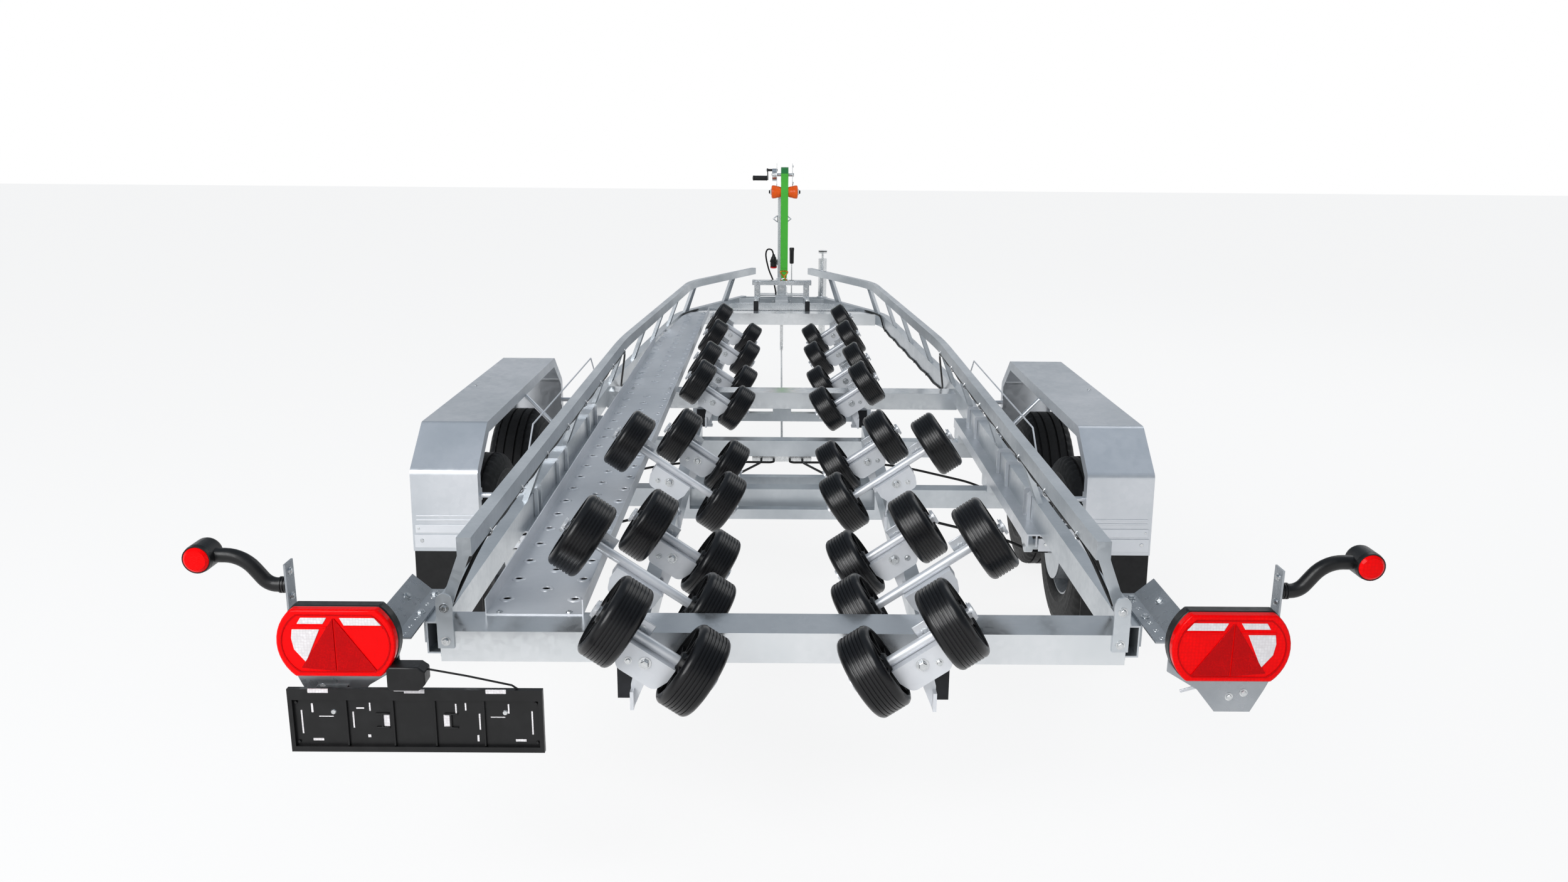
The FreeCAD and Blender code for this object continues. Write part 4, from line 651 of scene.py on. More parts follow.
@dataclass
class Rollers:
    """Ribbed keel rollers with spoked hubs, their star clips, and the bolts of their saddles."""

    rows: list[RollerRow]
    radius: float = 0.101
    width: float = 0.082
    shoulder: float = 0.016
    grooves: int = 6
    groove_pitch: float = 0.0088
    groove_depth: float = 0.0022
    groove_half: float = 0.0009
    hub_radius: float = 0.026
    rim: float = 0.017
    recess: float = 0.020
    spokes: int = 8
    bore: float = 0.0125

    def tread(self) -> list[Point]:
        """Half section of the tread from one shoulder to the other."""
        h = self.width / 2
        s = self.shoulder
        arc = [(h - s + s * math.sin(a), self.radius - s + s * math.cos(a))
               for a in [math.radians(v) for v in (90, 70, 50, 30, 10)]]
        points = list(arc)
        w = self.groove_half
        for k in range(self.grooves):
            z = (self.grooves - 1) / 2 * self.groove_pitch - k * self.groove_pitch
            crown = self.radius - 0.0004
            bed = crown - self.groove_depth
            points += [(z + 2 * w, crown), (z + w, bed), (z - w, bed), (z - 2 * w, crown)]
            if k < self.grooves - 1:
                points.append((z - self.groove_pitch / 2, self.radius - 0.0001))
        return points + [(-z, r) for z, r in reversed(arc)]

    def roller(self, solid: Solid, hub: Solid, at: Vector, axis: Vector) -> None:
        """Adds one roller's tyre and its spoked hub."""
        frame = stand(at, axis)
        h = self.width / 2
        inner = self.radius - self.rim
        web = h - self.recess
        edge = [(h - 0.002, inner), (h, inner + 0.003)]
        solid.lathe(edge + self.tread() + [(-z, r) for z, r in reversed(edge)], frame, 48)
        half = [(h, self.bore), (h, self.hub_radius - 0.003), (h - 0.004, self.hub_radius),
                (web, self.hub_radius + 0.004), (web, inner - 0.004), (h - 0.004, inner)]
        hub.lathe(half + [(-z, r) for z, r in reversed(half)], frame, 32)
        for k in range(self.spokes):
            turn = frame @ Matrix.Rotation(2 * math.pi * k / self.spokes, 4, "Z")
            for side in (1, -1):
                z = sorted((side * (web - 0.001), side * (h - 0.005)))
                hub.box((self.hub_radius - 0.001, -0.002, z[0]), (inner + 0.001, 0.002, z[1]), turn)

    def build(self) -> None:
        """Builds every pair and the saddles' small parts."""
        clips = Solid("spindle_star_clips", Look.ZINC)
        bolts = Solid("saddle_bolts", Look.ZINC)
        tabs = Solid("saddle_tabs", Look.SHEET)
        for row in self.rows:
            tyre = Solid(row.node + "_tread", Look.ROLLER, row.body)
            hub = Solid(row.node + "_hubs", Look.HUB, row.body)
            for d in (-row.span / 2, row.span / 2):
                self.roller(tyre, hub, row.at(d), row.axis)
            tyre.piece(replaces=[row.node])
            hub.piece(bevel=0.0006)
            end = row.span / 2 + self.width / 2 + 0.0083
            for side in (1, -1):
                frame = stand(row.at(side * end), row.axis * side)
                star = [(x * (1.0 if k % 2 else 0.66), y * (1.0 if k % 2 else 0.66))
                        for k, (x, y) in enumerate(ring(14, 0.0235))]
                clips.prism(star, 0.0002, 0.002, frame)
                crown = [(0.002, 0.0), (0.002, 0.012), (0.006, 0.011), (0.008, 0.006), (0.0085, 0.0)]
                clips.lathe(crown, frame, 14)
            for side in (1, -1):
                bolts.hex(row.at(0, -0.034, side * 0.0302), (0, side, 0), 0.017, 0.010)
                bolts.hex(row.at(0.034, -0.050, side * 0.0302), (0, side, 0), 0.010, 0.005)
            frame = stand(row.at(row.span / 2 - 0.062, 0.012, 0.016), (0, 1, 0), row.axis)
            tabs.box((-0.022, -0.022, 0), (0.022, 0.022, 0.004), frame)
            bolts.lathe([(0, 0.0045), (-0.001, 0.0045), (-0.001, 0.009), (0, 0.009)], frame, 16)
        clips.piece()
        bolts.piece()
        tabs.piece(bevel=0.0012)


@dataclass
class RoadWheels:
    """Road tyres with tread and side rings, wheel bolts and valves."""

    wheels: list[tuple[str, str]]
    radius: float = 0.325
    bead_radius: float = 0.182
    bead_half: float = 0.075
    bolt_circle: float = 0.056
    disc_out: float = 0.030

    def section(self) -> tuple[list[Point], dict[int, float]]:
        """Closed section of the tyre, and the points that the cross grooves cut."""
        half = [(self.bead_half, self.bead_radius), (0.083, 0.190), (0.0885, 0.206), (0.091, 0.212),
                (0.0895, 0.218), (0.0925, 0.240), (0.0925, 0.252), (0.0905, 0.262), (0.0915, 0.266),
                (0.0895, 0.270), (0.0875, 0.288), (0.084, 0.300), (0.0775, 0.312), (0.068, 0.3205)]
        dips = {}
        for z in (0.052, 0.020):
            half += [(z + 0.004, self.radius - 0.0015), (z + 0.003, self.radius - 0.009),
                     (z - 0.003, self.radius - 0.009), (z - 0.004, self.radius - 0.001)]
        for index in (11, 12, 13, 14):
            dips[index] = 0.005
        points = half + [(-z, r) for z, r in reversed(half)]
        count = len(points)
        dips.update({count - 1 - i: v for i, v in list(dips.items())})
        return points, dips

    def build(self) -> None:
        """Builds each wheel's tyre and bolts around its CAD tyre's middle."""
        points, dips = self.section()
        for node, body in self.wheels:
            lo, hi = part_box(node)
            centre = (lo + hi) / 2
            side = 1 if centre.x > 0 else -1
            frame = stand((centre.x, centre.y, self.radius), (side, 0, 0))
            tyre = Solid(node + "_tread", Look.TYRE, body)
            tyre.lathe(points, frame, 144, dips, 3)
            tyre.piece(smooth_deg=30, replaces=[node])
            bolts = Solid(node + "_bolts", Look.ZINC, body)
            for x, y in ring(5, self.bolt_circle, 20):
                at = frame @ Vector((x, y, self.disc_out))
                bolts.hex(at, (side, 0, 0), 0.017, 0.016)
            bolts.piece(bevel=0.0004)
            trim = Solid(node + "_valve_and_cap", Look.PLASTIC, body)
            valve = frame @ Vector((0.152, 0.0, 0.028))
            trim.rod(valve, valve + Vector((side * 0.026, 0, 0)), 0.005, 12)
            trim.lathe([(0.0662, 0), (0.0662, 0.026), (0.070, 0.024), (0.072, 0.010), (0.072, 0)], frame, 24)
            trim.piece()


@dataclass
class Mudguards:
    """Pressed bands, rivets, bolts and rolled inner edges of the mudguards."""

    rivet: float = 0.007
    band: float = 0.0022
    lean: float = 0.012 / 0.27
    run: float = 0.165
    shoulder: float = 0.700
    lip: float = 0.003
    ribs: tuple[tuple[float, float, float], ...] = (  # lower edge, upper edge and inset
        (0.442, 0.486, 0.006), (0.492, 0.520, 0.010), (0.534, 0.539, 0.014), (0.548, 0.553, 0.014))

    def wall(self, y: float, end: int, lo: Vector, z: float) -> float:
        """Returns the end wall's y at a height."""
        return y - end * self.lean * (z - lo.z)

    def build(self) -> None:
        """Builds both sides' trim."""
        for side, side_name in ((-1, "left"), (1, "right")):
            lo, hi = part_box("mudguard_" + side_name)
            bands = Solid("mudguard_bands_" + side_name, Look.PLANK)
            rivets = Solid("mudguard_rivets_" + side_name, Look.ZINC)
            inner, outer = (lo.x, hi.x) if side > 0 else (hi.x, lo.x)
            top = hi.z - self.lip
            for end, y in ((-1, lo.y), (1, hi.y)):
                for z0, z1, inset in self.ribs:
                    at_y = self.wall(y, end, lo, (z0 + z1) / 2)
                    bands.box((lo.x + inset, min(at_y, at_y + end * self.band), z0),
                              (hi.x - inset, max(at_y, at_y + end * self.band), z1))
                for x, z in ((lo.x + 0.030, 0.466), (hi.x - 0.030, 0.466), ((lo.x + hi.x) / 2, 0.464),
                             (outer - side * 0.020, 0.507)):
                    at_y = self.wall(y, end, lo, z)
                    size = self.rivet if z < 0.5 else self.rivet * 0.6
                    rivets.lathe([(0, 0), (0, size), (0.002, size * 0.8), (0.0035, 0)],
                                 stand((x, at_y + end * self.band, z), (0, end, 0)), 16)
                top_y = y - end * self.run
                lip = [(inner, y - end * 0.004, 0.455), (inner, y - end * 0.013, self.shoulder),
                       (inner, top_y, top)]
                bands.tube(lip, self.lip, 8)
            bands.tube([(inner, lo.y + self.run, top), (inner, hi.y - self.run, top)], self.lip, 8)
            rivets.hex((outer - side * 0.030, (lo.y + hi.y) / 2, hi.z), (0, 0, 1), 0.010, 0.004)
            for y in (lo.y + 0.19, hi.y - 0.19):
                rivets.hex((outer, y, hi.z - 0.020), (side, 0, 0), 0.013, 0.004)
            bands.piece(bevel=0.0008)
            rivets.piece()


@dataclass
class Walkway:
    """Raised collars of the walkway's holes, black linings inside them as painted shade, and the screws at
    its ends.
    """

    rows: tuple[float, ...] = (-0.686, -0.602, -0.518)
    pitch: float = 0.139
    start: float = 0.095
    plank_rears: tuple[float, float] = (-3.167, -0.464)
    plank_fronts: tuple[float, float] = (-0.466, 2.072)
    top: float = 0.643
    cut_from: float = 1.35

    def build(self) -> None:
        """Builds the collars, the black linings of painted shade in the holes, and the screws."""
        collars = Solid("walkway_hole_collars", Look.PLANK)
        # The black linings inside the holes are painted shade: they darken the holes where shadow falls down
        # them.
        painted_shade_linings = Solid("walkway_hole_painted_shade", Look.HUB)
        screws = Solid("walkway_screws", Look.ZINC)
        profile = [(-0.0140, 0.0108), (-0.0140, 0.0100), (0.0022, 0.0100), (0.0036, 0.0112), (0.0038, 0.0130),
                   (0.0026, 0.0158), (0.0, 0.0190), (-0.0004, 0.0190), (-0.0004, 0.0108)]
        painted_shade_section = [(-0.0140, 0.0100), (-0.0140, 0.0090), (0.0004, 0.0090), (0.0004, 0.0100)]
        for rear, front in zip(self.plank_rears, self.plank_fronts):
            for row, x in enumerate(self.rows):
                y = rear + self.start + (self.pitch / 2 if row == 1 else 0)
                while y < front - self.start / 2:
                    if x > -0.65 or y < self.cut_from:
                        collars.lathe(profile, stand((x, y, self.top), (0, 0, 1)), 24)
                        # Painted shade: a black lining down the inside of each hole.
                        painted_shade_linings.lathe(painted_shade_section, stand((x, y, self.top), (0, 0, 1)), 24)
                    y += self.pitch
            for x in (self.rows[0], self.rows[2]):
                for y in (rear + 0.012, front - 0.012):
                    if y < self.cut_from or x > -0.6:
                        screws.hex((x, y, self.top), (0, 0, 1), 0.010, 0.004)
        collars.piece(smooth_deg=70)
        painted_shade_linings.piece()
        screws.piece()


@dataclass
class FramePath:
    """Sideways place of the lower chord's middle along the trailer: parallel, taper, nose."""

    x: float = 0.820
    rear_y: float = -3.240
    taper_y: float = -0.560
    taper: float = math.radians(3.5)
    taper_length: float = 0.400
    run: float = 1.990
    nose: float = math.radians(24.0)
    nose_length: float = 0.350

    def along(self, s: float) -> tuple[float, float, float]:
        """Returns y, x and turn of the right chord's middle at a distance s from its rear end."""
        y = self.rear_y
        for _ in range(4):
            y += s - self.length_to(y)
        step = 0.001
        return y, self.at(y), math.atan2(self.at(y - step) - self.at(y + step), 2 * step)

    def length_to(self, y: float) -> float:
        """Returns the distance along the chord from its rear end to a given y."""
        steps = 200
        done = 0.0
        for k in range(steps):
            one = self.rear_y + (y - self.rear_y) * k / steps
            two = self.rear_y + (y - self.rear_y) * (k + 1) / steps
            done += math.hypot(two - one, self.at(two) - self.at(one))
        return done

    def at(self, y: float) -> float:
        """Returns the middle of the right chord at a given y."""
        if y <= self.taper_y:
            return self.x
        radius = self.taper_length / self.taper
        end_y = self.taper_y + radius * math.sin(self.taper)
        if y <= end_y:
            return self.x - radius + math.sqrt(radius ** 2 - (y - self.taper_y) ** 2)
        end_x = self.x - radius * (1 - math.cos(self.taper))
        nose_y = end_y + self.run * math.cos(self.taper)
        if y <= nose_y:
            return end_x - (y - end_y) * math.tan(self.taper)
        nose_x = end_x - (nose_y - end_y) * math.tan(self.taper)
        bend = self.nose_length / (self.nose - self.taper)
        centre_y = nose_y - bend * math.sin(self.taper)
        last_y = centre_y + bend * math.sin(self.nose)
        centre_x = nose_x - bend * math.cos(self.taper)
        if y <= last_y:
            return centre_x + math.sqrt(bend ** 2 - (y - centre_y) ** 2)
        return centre_x + bend * math.cos(self.nose) - (y - last_y) * math.tan(self.nose)


@dataclass
class SideFrames:
    """Welds, nuts and clipped wiring on the lattice frames."""

    path: FramePath
    chord_half: float = 0.020
    leg_dx: float = 0.027
    clamp_ys: tuple[float, ...] = (-2.175, -2.120, -1.790, -1.620, -1.095, -0.903)
    strut_ys: tuple[float, ...] = (-2.230, -1.540, -0.850)
    weld_low: tuple[float, float] = (0.802, 0.6525)
    weld_high: tuple[float, float] = (0.745, 0.8145)
    rail_z: float = 0.572
    upper_z: float = 0.815
    lead_in: float = 0.0705
    clip_s: float = 2.775
    clip_pitch: float = 0.370
    hook_bend: tuple[tuple[float, float], ...] = (
        (0.013, 0.004), (0.001, -0.012), (-0.008, -0.009), (-0.010, 0.002), (-0.004, 0.012))

    def wiring(self, side: int, name: str) -> None:
        """Bent hooks that hold the lead under the upper chord, and ties that hold it inside the lower one."""
        hooks = Solid("lead_hooks_" + name, Look.ZINC)
        ties = Solid("lead_ties_" + name, Look.PLASTIC)
        for s in [self.clip_s + i * self.clip_pitch for i in range(-7, 1)]:
            y, x, _ = self.path.along(s)
            edge = x - self.chord_half - self.lead_in
            hook = [(side * (edge + u), y, self.upper_z + v) for u, v in self.hook_bend]
            hooks.tube(smooth_path(hook, 5), 0.0022, 8)
        for s in [self.clip_s + i * self.clip_pitch for i in range(1, 7)]:
            y, x, turn = self.path.along(s)
            place = Matrix.Translation(Vector((side * (x - self.chord_half), y, 0)))
            frame = place @ Matrix.Rotation(side * turn, 4, "Z")
            lo, hi = sorted((-side * 0.0012, -side * 0.0110))
            ties.box((lo, -0.005, 0.5710), (hi, 0.005, 0.5835), frame)
        hooks.piece()
        ties.piece(bevel=0.001)

    def build(self) -> None:
        """Builds both sides."""
        for side, name in ((1, "right"), (-1, "left")):
            nuts = Solid("axle_clamp_nuts_" + name, Look.ZINC)
            beads = Solid("frame_welds_" + name, Look.FRAME)
            for y in self.clamp_ys:
                for dx in (-self.leg_dx, self.leg_dx):
                    x = side * (self.path.x + dx)
                    nuts.hex((x, y, self.rail_z - 0.0052), (0, 0, -1), 0.018, 0.012)
                    nuts.rod((x, y, self.rail_z - 0.030), (x, y, self.rail_z - 0.006), 0.005, 12)
            for y in self.strut_ys:
                x, z = self.weld_low
                ends = [(side * x, y - 0.036, z), (side * x, y + 0.036, z)]
                beads.tube(smooth_path(ends, 6), 0.0028, 8)
                x, z = self.weld_high
                beads.tube([(side * x, y - 0.028, z), (side * x, y + 0.028, z)], 0.0028, 8)
            for y in (-3.262, -3.150):
                beads.tube([(side * 0.7995, y, 0.575), (side * 0.7995, y, 0.638)], 0.003, 8)
            nuts.piece()
            beads.piece()
            self.wiring(side, name)


@dataclass
class Crossbeams:
    """Bolts of the crossbeams' joints and the clamps that hold the cradle beams under them."""

    cradle_x: float = 0.365
    top: float = 0.640
    under: float = 0.565
    clamp_z: float = 0.476
    beam_foot: float = 0.4845
    rear_face: float = -3.268
    mid_y: float = -0.465
    front_y: float = 2.113
    tab_x: float = 0.785

    def build(self) -> None:
        """Builds the bolts and clamp plates."""
        bolts = Solid("crossbeam_bolts", Look.ZINC)
        plates = Solid("cradle_clamp_plates", Look.SHEET)
        for side in (1, -1):
            for z in (0.618, 0.700):
                bolts.hex((side * self.tab_x, self.rear_face - 0.006, z), (0, -1, 0), 0.013, 0.007)
            for y0 in (self.mid_y - 0.050, self.front_y - 0.050):
                for dx in (-0.034, 0.034):
                    x = side * (self.cradle_x + dx)
                    plates.box((x - 0.009, y0, self.clamp_z), (x + 0.009, y0 + 0.030, self.under))
                    bolts.hex((x, y0 + 0.015, self.top), (0, 0, 1), 0.015, 0.008)
                x = side * self.cradle_x
                plates.box((x - 0.046, y0 - 0.002, self.clamp_z), (x + 0.046, y0 + 0.032, self.beam_foot))
        bolts.piece()
        plates.piece(bevel=0.001)


@dataclass
class RearLamps:
    """Rear lamps with their reflector triangles, clear windows and black backs."""

    lens_front: float = -3.620
    depth: float = 0.050
    half_w: float = 0.1205
    half_h: float = 0.0725
    bulge: float = 0.034
    x: float = 0.905
    z: float = 0.762
    skin: float = 0.0012

    def outline(self, inset: float) -> list[tuple[float, float]]:
        """Lamp outline with curved ends, moved in by inset."""
        w = self.half_w - inset
        h = self.half_h - inset
        flat = w - self.bulge
        radius = (h * h + self.bulge ** 2) / (2 * self.bulge)
        sweep = math.asin(h / radius)
        points = []
        for side in (1, -1):
            for k in range(13):
                a = side * -sweep + side * 2 * sweep * k / 12
                x = flat + self.bulge - radius + radius * math.cos(a)
                points.append((side * x, radius * math.sin(a)))
        return points

    def build(self) -> None:
        """Builds both lamps, the left one as the right one's mirror."""
        for side, name in ((1, "right"), (-1, "left")):
            frame = stand((side * self.x, self.lens_front, self.z), (0, 1, 0), (side, 0, 0))
            up = -1 if (frame.to_3x3() @ Vector((0, 1, 0))).z < 0 else 1
            front = self.skin * 2

            def placed(points: Iterable[Point]) -> list[tuple[float, float]]:
                """Turns local heights the right way up."""
                return [(x, up * z) for x, z in points]

            back = Solid("lamp_back_" + name, Look.PLASTIC)
            back.prism(self.outline(-0.0012), self.depth * 0.45, self.depth, frame)
            back.piece(bevel=0.003)
            lens = Solid("lamp_lens_" + name, Look.RED)
            lens.prism(placed(self.outline(0.0)), front, self.depth * 0.5, frame)
            lens.piece(bevel=0.004, replaces=["rear_lamps"])
            rim = Solid("lamp_rim_" + name, Look.RED_DEEP)
            outer = placed(self.outline(0.010))
            inner = placed(self.outline(0.0125))
            for a, b, c, d in zip(outer, outer[1:] + outer[:1], inner[1:] + inner[:1], inner):
                rim.prism([a, b, c, d], self.skin, front + 0.0004, frame)
            rim.piece()
            proud = front + 0.0004
            for word, look, depth, bevel, outlines in self.panels():
                panel = Solid(f"lamp_{word}_{name}", look)
                for outline in outlines:
                    panel.prism(placed(outline), depth, proud, frame)
                panel.piece(bevel=bevel)

    def panels(self) -> list[tuple[str, Look, float, float, list[list[Point]]]]:
        """Name, finish, inner depth, edge width and outlines of the panels in a lamp's face."""
        triangle = [[(-0.001, 0.055), (-0.001, -0.058), (-0.080, -0.058)],
                    [(0.002, 0.055), (0.072, -0.052), (0.002, -0.058)]]
        windows = [[(-0.095, 0.040), (-0.020, 0.040), (-0.012, 0.056), (-0.082, 0.056)],
                   [(0.022, 0.043), (0.074, 0.043), (0.066, 0.056), (0.014, 0.056)],
                   [(0.030, 0.031), (0.085, 0.031), (0.088, 0.012), (0.084, -0.012), (0.062, -0.040)]]
        ribs = [[(-0.098, 0.033), (-0.022, 0.033), (-0.020, 0.037), (-0.098, 0.037)],
                [(0.016, 0.034), (0.086, 0.034), (0.086, 0.038), (0.014, 0.038)]]
        return [("reflectors", Look.RED_DEEP, 0.0, 0.0006, triangle),
                ("windows", Look.CLEAR, 0.0003, 0.0008, windows),
                ("ribs", Look.RED, 0.0, 0.0006, ribs)]


@dataclass
class MarkerLamps:
    """Round marker lamps, red to the rear and clear to the front, on curved black arms."""

    x: float = 1.185
    z: float = 0.925
    y: float = -3.550
    half: float = 0.0225

    def build(self) -> None:
        """Builds both sides' lenses and collars."""
        for side, name in ((1, "right"), (-1, "left")):
            for direction, look, word in ((-1, Look.RED, "rear"), (1, Look.CLEAR, "front")):
                frame = stand((side * self.x, self.y + direction * self.half, self.z), (0, direction, 0))
                lens = Solid(f"marker_lens_{word}_{name}", look)
                reach = 0.015 if direction < 0 else 0.008
                dome = [(0.0005, 0), (0.0005, 0.0265), (reach * 0.6, 0.026), (reach - 0.001, 0.021),
                        (reach, 0.012), (reach, 0)]
                lens.lathe(dome, frame, 32)
                lens.piece()
                collar = Solid(f"marker_collar_{word}_{name}", Look.PLASTIC)
                band = [(0.0, 0.0266), (reach * 0.55, 0.0266), (reach * 0.55, 0.0288), (0.0, 0.0299)]
                collar.lathe(band, frame, 32)
                collar.piece()
            boot = Solid("marker_boot_" + name, Look.PLASTIC)
            for x in (1.0205, 1.026, 1.0315):
                boot.lathe([(-0.0018, 0.0148), (-0.0018, 0.0172), (0.0018, 0.0172), (0.0018, 0.0148)],
                           stand((side * x, self.y, 0.862), (side, 0, 0)), 24)
            boot.piece()
            bolts = Solid("marker_bolts_" + name, Look.ZINC)
            for z in (0.838, 0.892):
                bolts.hex((side * 1.012, self.y, z), (-side, 0, 0), 0.010, 0.005)
            bolts.piece()


@dataclass
class LampArms:
    """Holes, bolts and small flaps of the folded lamp arms."""

    strip_top: float = 0.660

    def build(self) -> None:
        """Builds both sides."""
        for side, name in ((1, "right"), (-1, "left")):
            rings = Solid("lamp_arm_holes_" + name, Look.ZINC)
            for k in range(6):
                rings.lathe([(0, 0.0042), (0.0006, 0.0045), (0.0006, 0.0072), (0, 0.0075)],
                            stand((side * 0.861, -3.33 + k * 0.045, self.strip_top), (0, 0, 1)), 16)
            for y in (-3.205, -3.085):
                rings.hex((side * 0.861, y + 0.002, self.strip_top), (0, 0, 1), 0.013, 0.007)
                rings.hex((side * 0.8443, y, 0.628), (side, 0, 0), 0.013, 0.007)
            for x, z in ((0.928, 0.634), (0.958, 0.643)):
                rings.hex((side * x, -3.570, z), (0, -1, 0), 0.010, 0.005)
            rings.hex((side * 0.905, -3.16, 0.6835), (-side * 0.66, 0, 0.75), 0.013, 0.007)
            rings.piece()
        flap = Solid("lamp_arm_flap", Look.SHEET)
        outline = [(0.860, 0.668), (0.868, 0.668), (0.862, 0.650), (0.828, 0.640), (0.826, 0.646),
                   (0.856, 0.656)]
        flap.prism(outline, 3.563, 3.566, REARWARD)
        flap.piece(bevel=0.0008)


@dataclass
class PlateHolder:
    """Plate holder with its panels, slots and lamp. The panel stays blank."""

    rib: float = 0.004
    slots: tuple[tuple[float, float, float, float], ...] = (  # place as shares of the tray, width and height
        (0.03, 0.50, 0.003, 0.10), (0.09, 0.12, 0.022, 0.005), (0.075, 0.80, 0.004, 0.020),
        (0.13, 0.62, 0.030, 0.0016), (0.24, 0.55, 0.003, 0.036), (0.27, 0.80, 0.016, 0.003),
        (0.31, 0.83, 0.003, 0.022), (0.30, 0.20, 0.006, 0.006), (0.66, 0.80, 0.003, 0.024),
        (0.70, 0.84, 0.003, 0.026), (0.755, 0.52, 0.003, 0.036), (0.745, 0.16, 0.004, 0.014),
        (0.83, 0.62, 0.030, 0.0016), (0.875, 0.80, 0.003, 0.032), (0.92, 0.12, 0.022, 0.005),
        (0.97, 0.50, 0.003, 0.10))

    def build(self) -> None:
        """Builds the ribs, slots, clips and the plate lamp."""
        lo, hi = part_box("plate_holder")
        left, right = lo.x + 0.009, hi.x - 0.009
        low, high = lo.z + 0.012, hi.z - 0.024
        floor_y = lo.y + 0.008
        back = floor_y + 0.0005
        ribs = Solid("plate_holder_ribs", Look.PLASTIC)
        for part in (0.215, 0.405, 0.575, 0.775):
            x = left + (right - left) * part
            ribs.box((x - self.rib / 2, floor_y - 0.0055, low + 0.001),
                     (x + self.rib / 2, back, high - 0.001))
        stud = [(0, 0), (0, 0.0035), (0.004, 0.003), (0.004, 0)]
        for x in (left + 0.006, right - 0.006):
            for z in (low + 0.008, high - 0.008):
                ribs.lathe(stud, stand((x, floor_y, z), (0, -1, 0)), 12)
        ribs.piece(bevel=0.0006)
        slots = Solid("plate_holder_slots", Look.CLEAR)
        width = right - left
        for u, v, w, h in self.slots:
            x = left + width * u
            z = low + (high - low) * v
            tall = min(h, high - z, z - low)
            slots.box((x - w / 2, floor_y - 0.0009, z - tall / 2),
                      (x + w / 2, floor_y + 0.0004, z + tall / 2))
        middle = (low + high) / 2 + 0.004
        for u in (0.375, 0.62):
            x = left + width * u
            slots.box((x - 0.006, floor_y - 0.0009, middle - 0.013),
                      (x + 0.006, floor_y + 0.0004, middle + 0.013))
        slots.piece()
        clips = Solid("plate_holder_clips", Look.CLEAR)
        for u in (0.11, 0.50, 0.83):
            x = left + width * u
            clips.box((x - 0.021, lo.y - 0.0012, hi.z - 0.0075), (x + 0.021, lo.y + 0.002, hi.z + 0.0012))
        clips.piece(bevel=0.0006)
        frames = Solid("plate_holder_catches", Look.PLASTIC)
        for u in (0.360, 0.640):
            x = left + width * u
            for z in (middle + 0.014, middle - 0.017):
                frames.box((x - 0.014, floor_y - 0.004, z), (x + 0.014, back, z + 0.003))
            frames.box((x - 0.003, floor_y - 0.004, middle - 0.014), (x + 0.001, back, middle + 0.014))
        frames.piece(bevel=0.0005)
        screws = Solid("plate_holder_screws", Look.ZINC)
        for u in (0.16, 0.86):
            screws.lathe([(0, 0), (0, 0.006), (0.002, 0.0045), (0.0025, 0)],
                         stand((left + width * u, floor_y, low + 0.075), (0, -1, 0)), 16)
        screws.piece()
        lamp = Solid("plate_lamp", Look.PLASTIC)
        outline = [(-0.806, 0.668), (-0.800, 0.662), (-0.742, 0.662), (-0.728, 0.676), (-0.728, 0.704),
                   (-0.742, 0.714), (-0.800, 0.714), (-0.806, 0.706)]
        lamp.prism(outline, 3.585, 3.625, REARWARD)
        lamp.piece(bevel=0.003)
        lamp_clear = Solid("plate_lamp_lens", Look.CLEAR)
        lamp_clear.box((-0.795, -3.620, 0.659), (-0.745, -3.590, 0.6625))
        lamp_clear.piece(bevel=0.001)
        wire = Solid("plate_lamp_rod", Look.CABLE)
        rod = [(-0.730, -3.600, 0.700), (-0.650, -3.598, 0.684), (-0.560, -3.594, 0.662),
               (-0.545, -3.592, 0.650)]
        lead = [(-0.786, -3.588, 0.700), (-0.800, -3.572, 0.712), (-0.815, -3.5635, 0.726)]
        wire.tube(rod, 0.0022, 8)
        wire.tube(smooth_path(lead, 5), 0.004, 8)
        wire.piece()


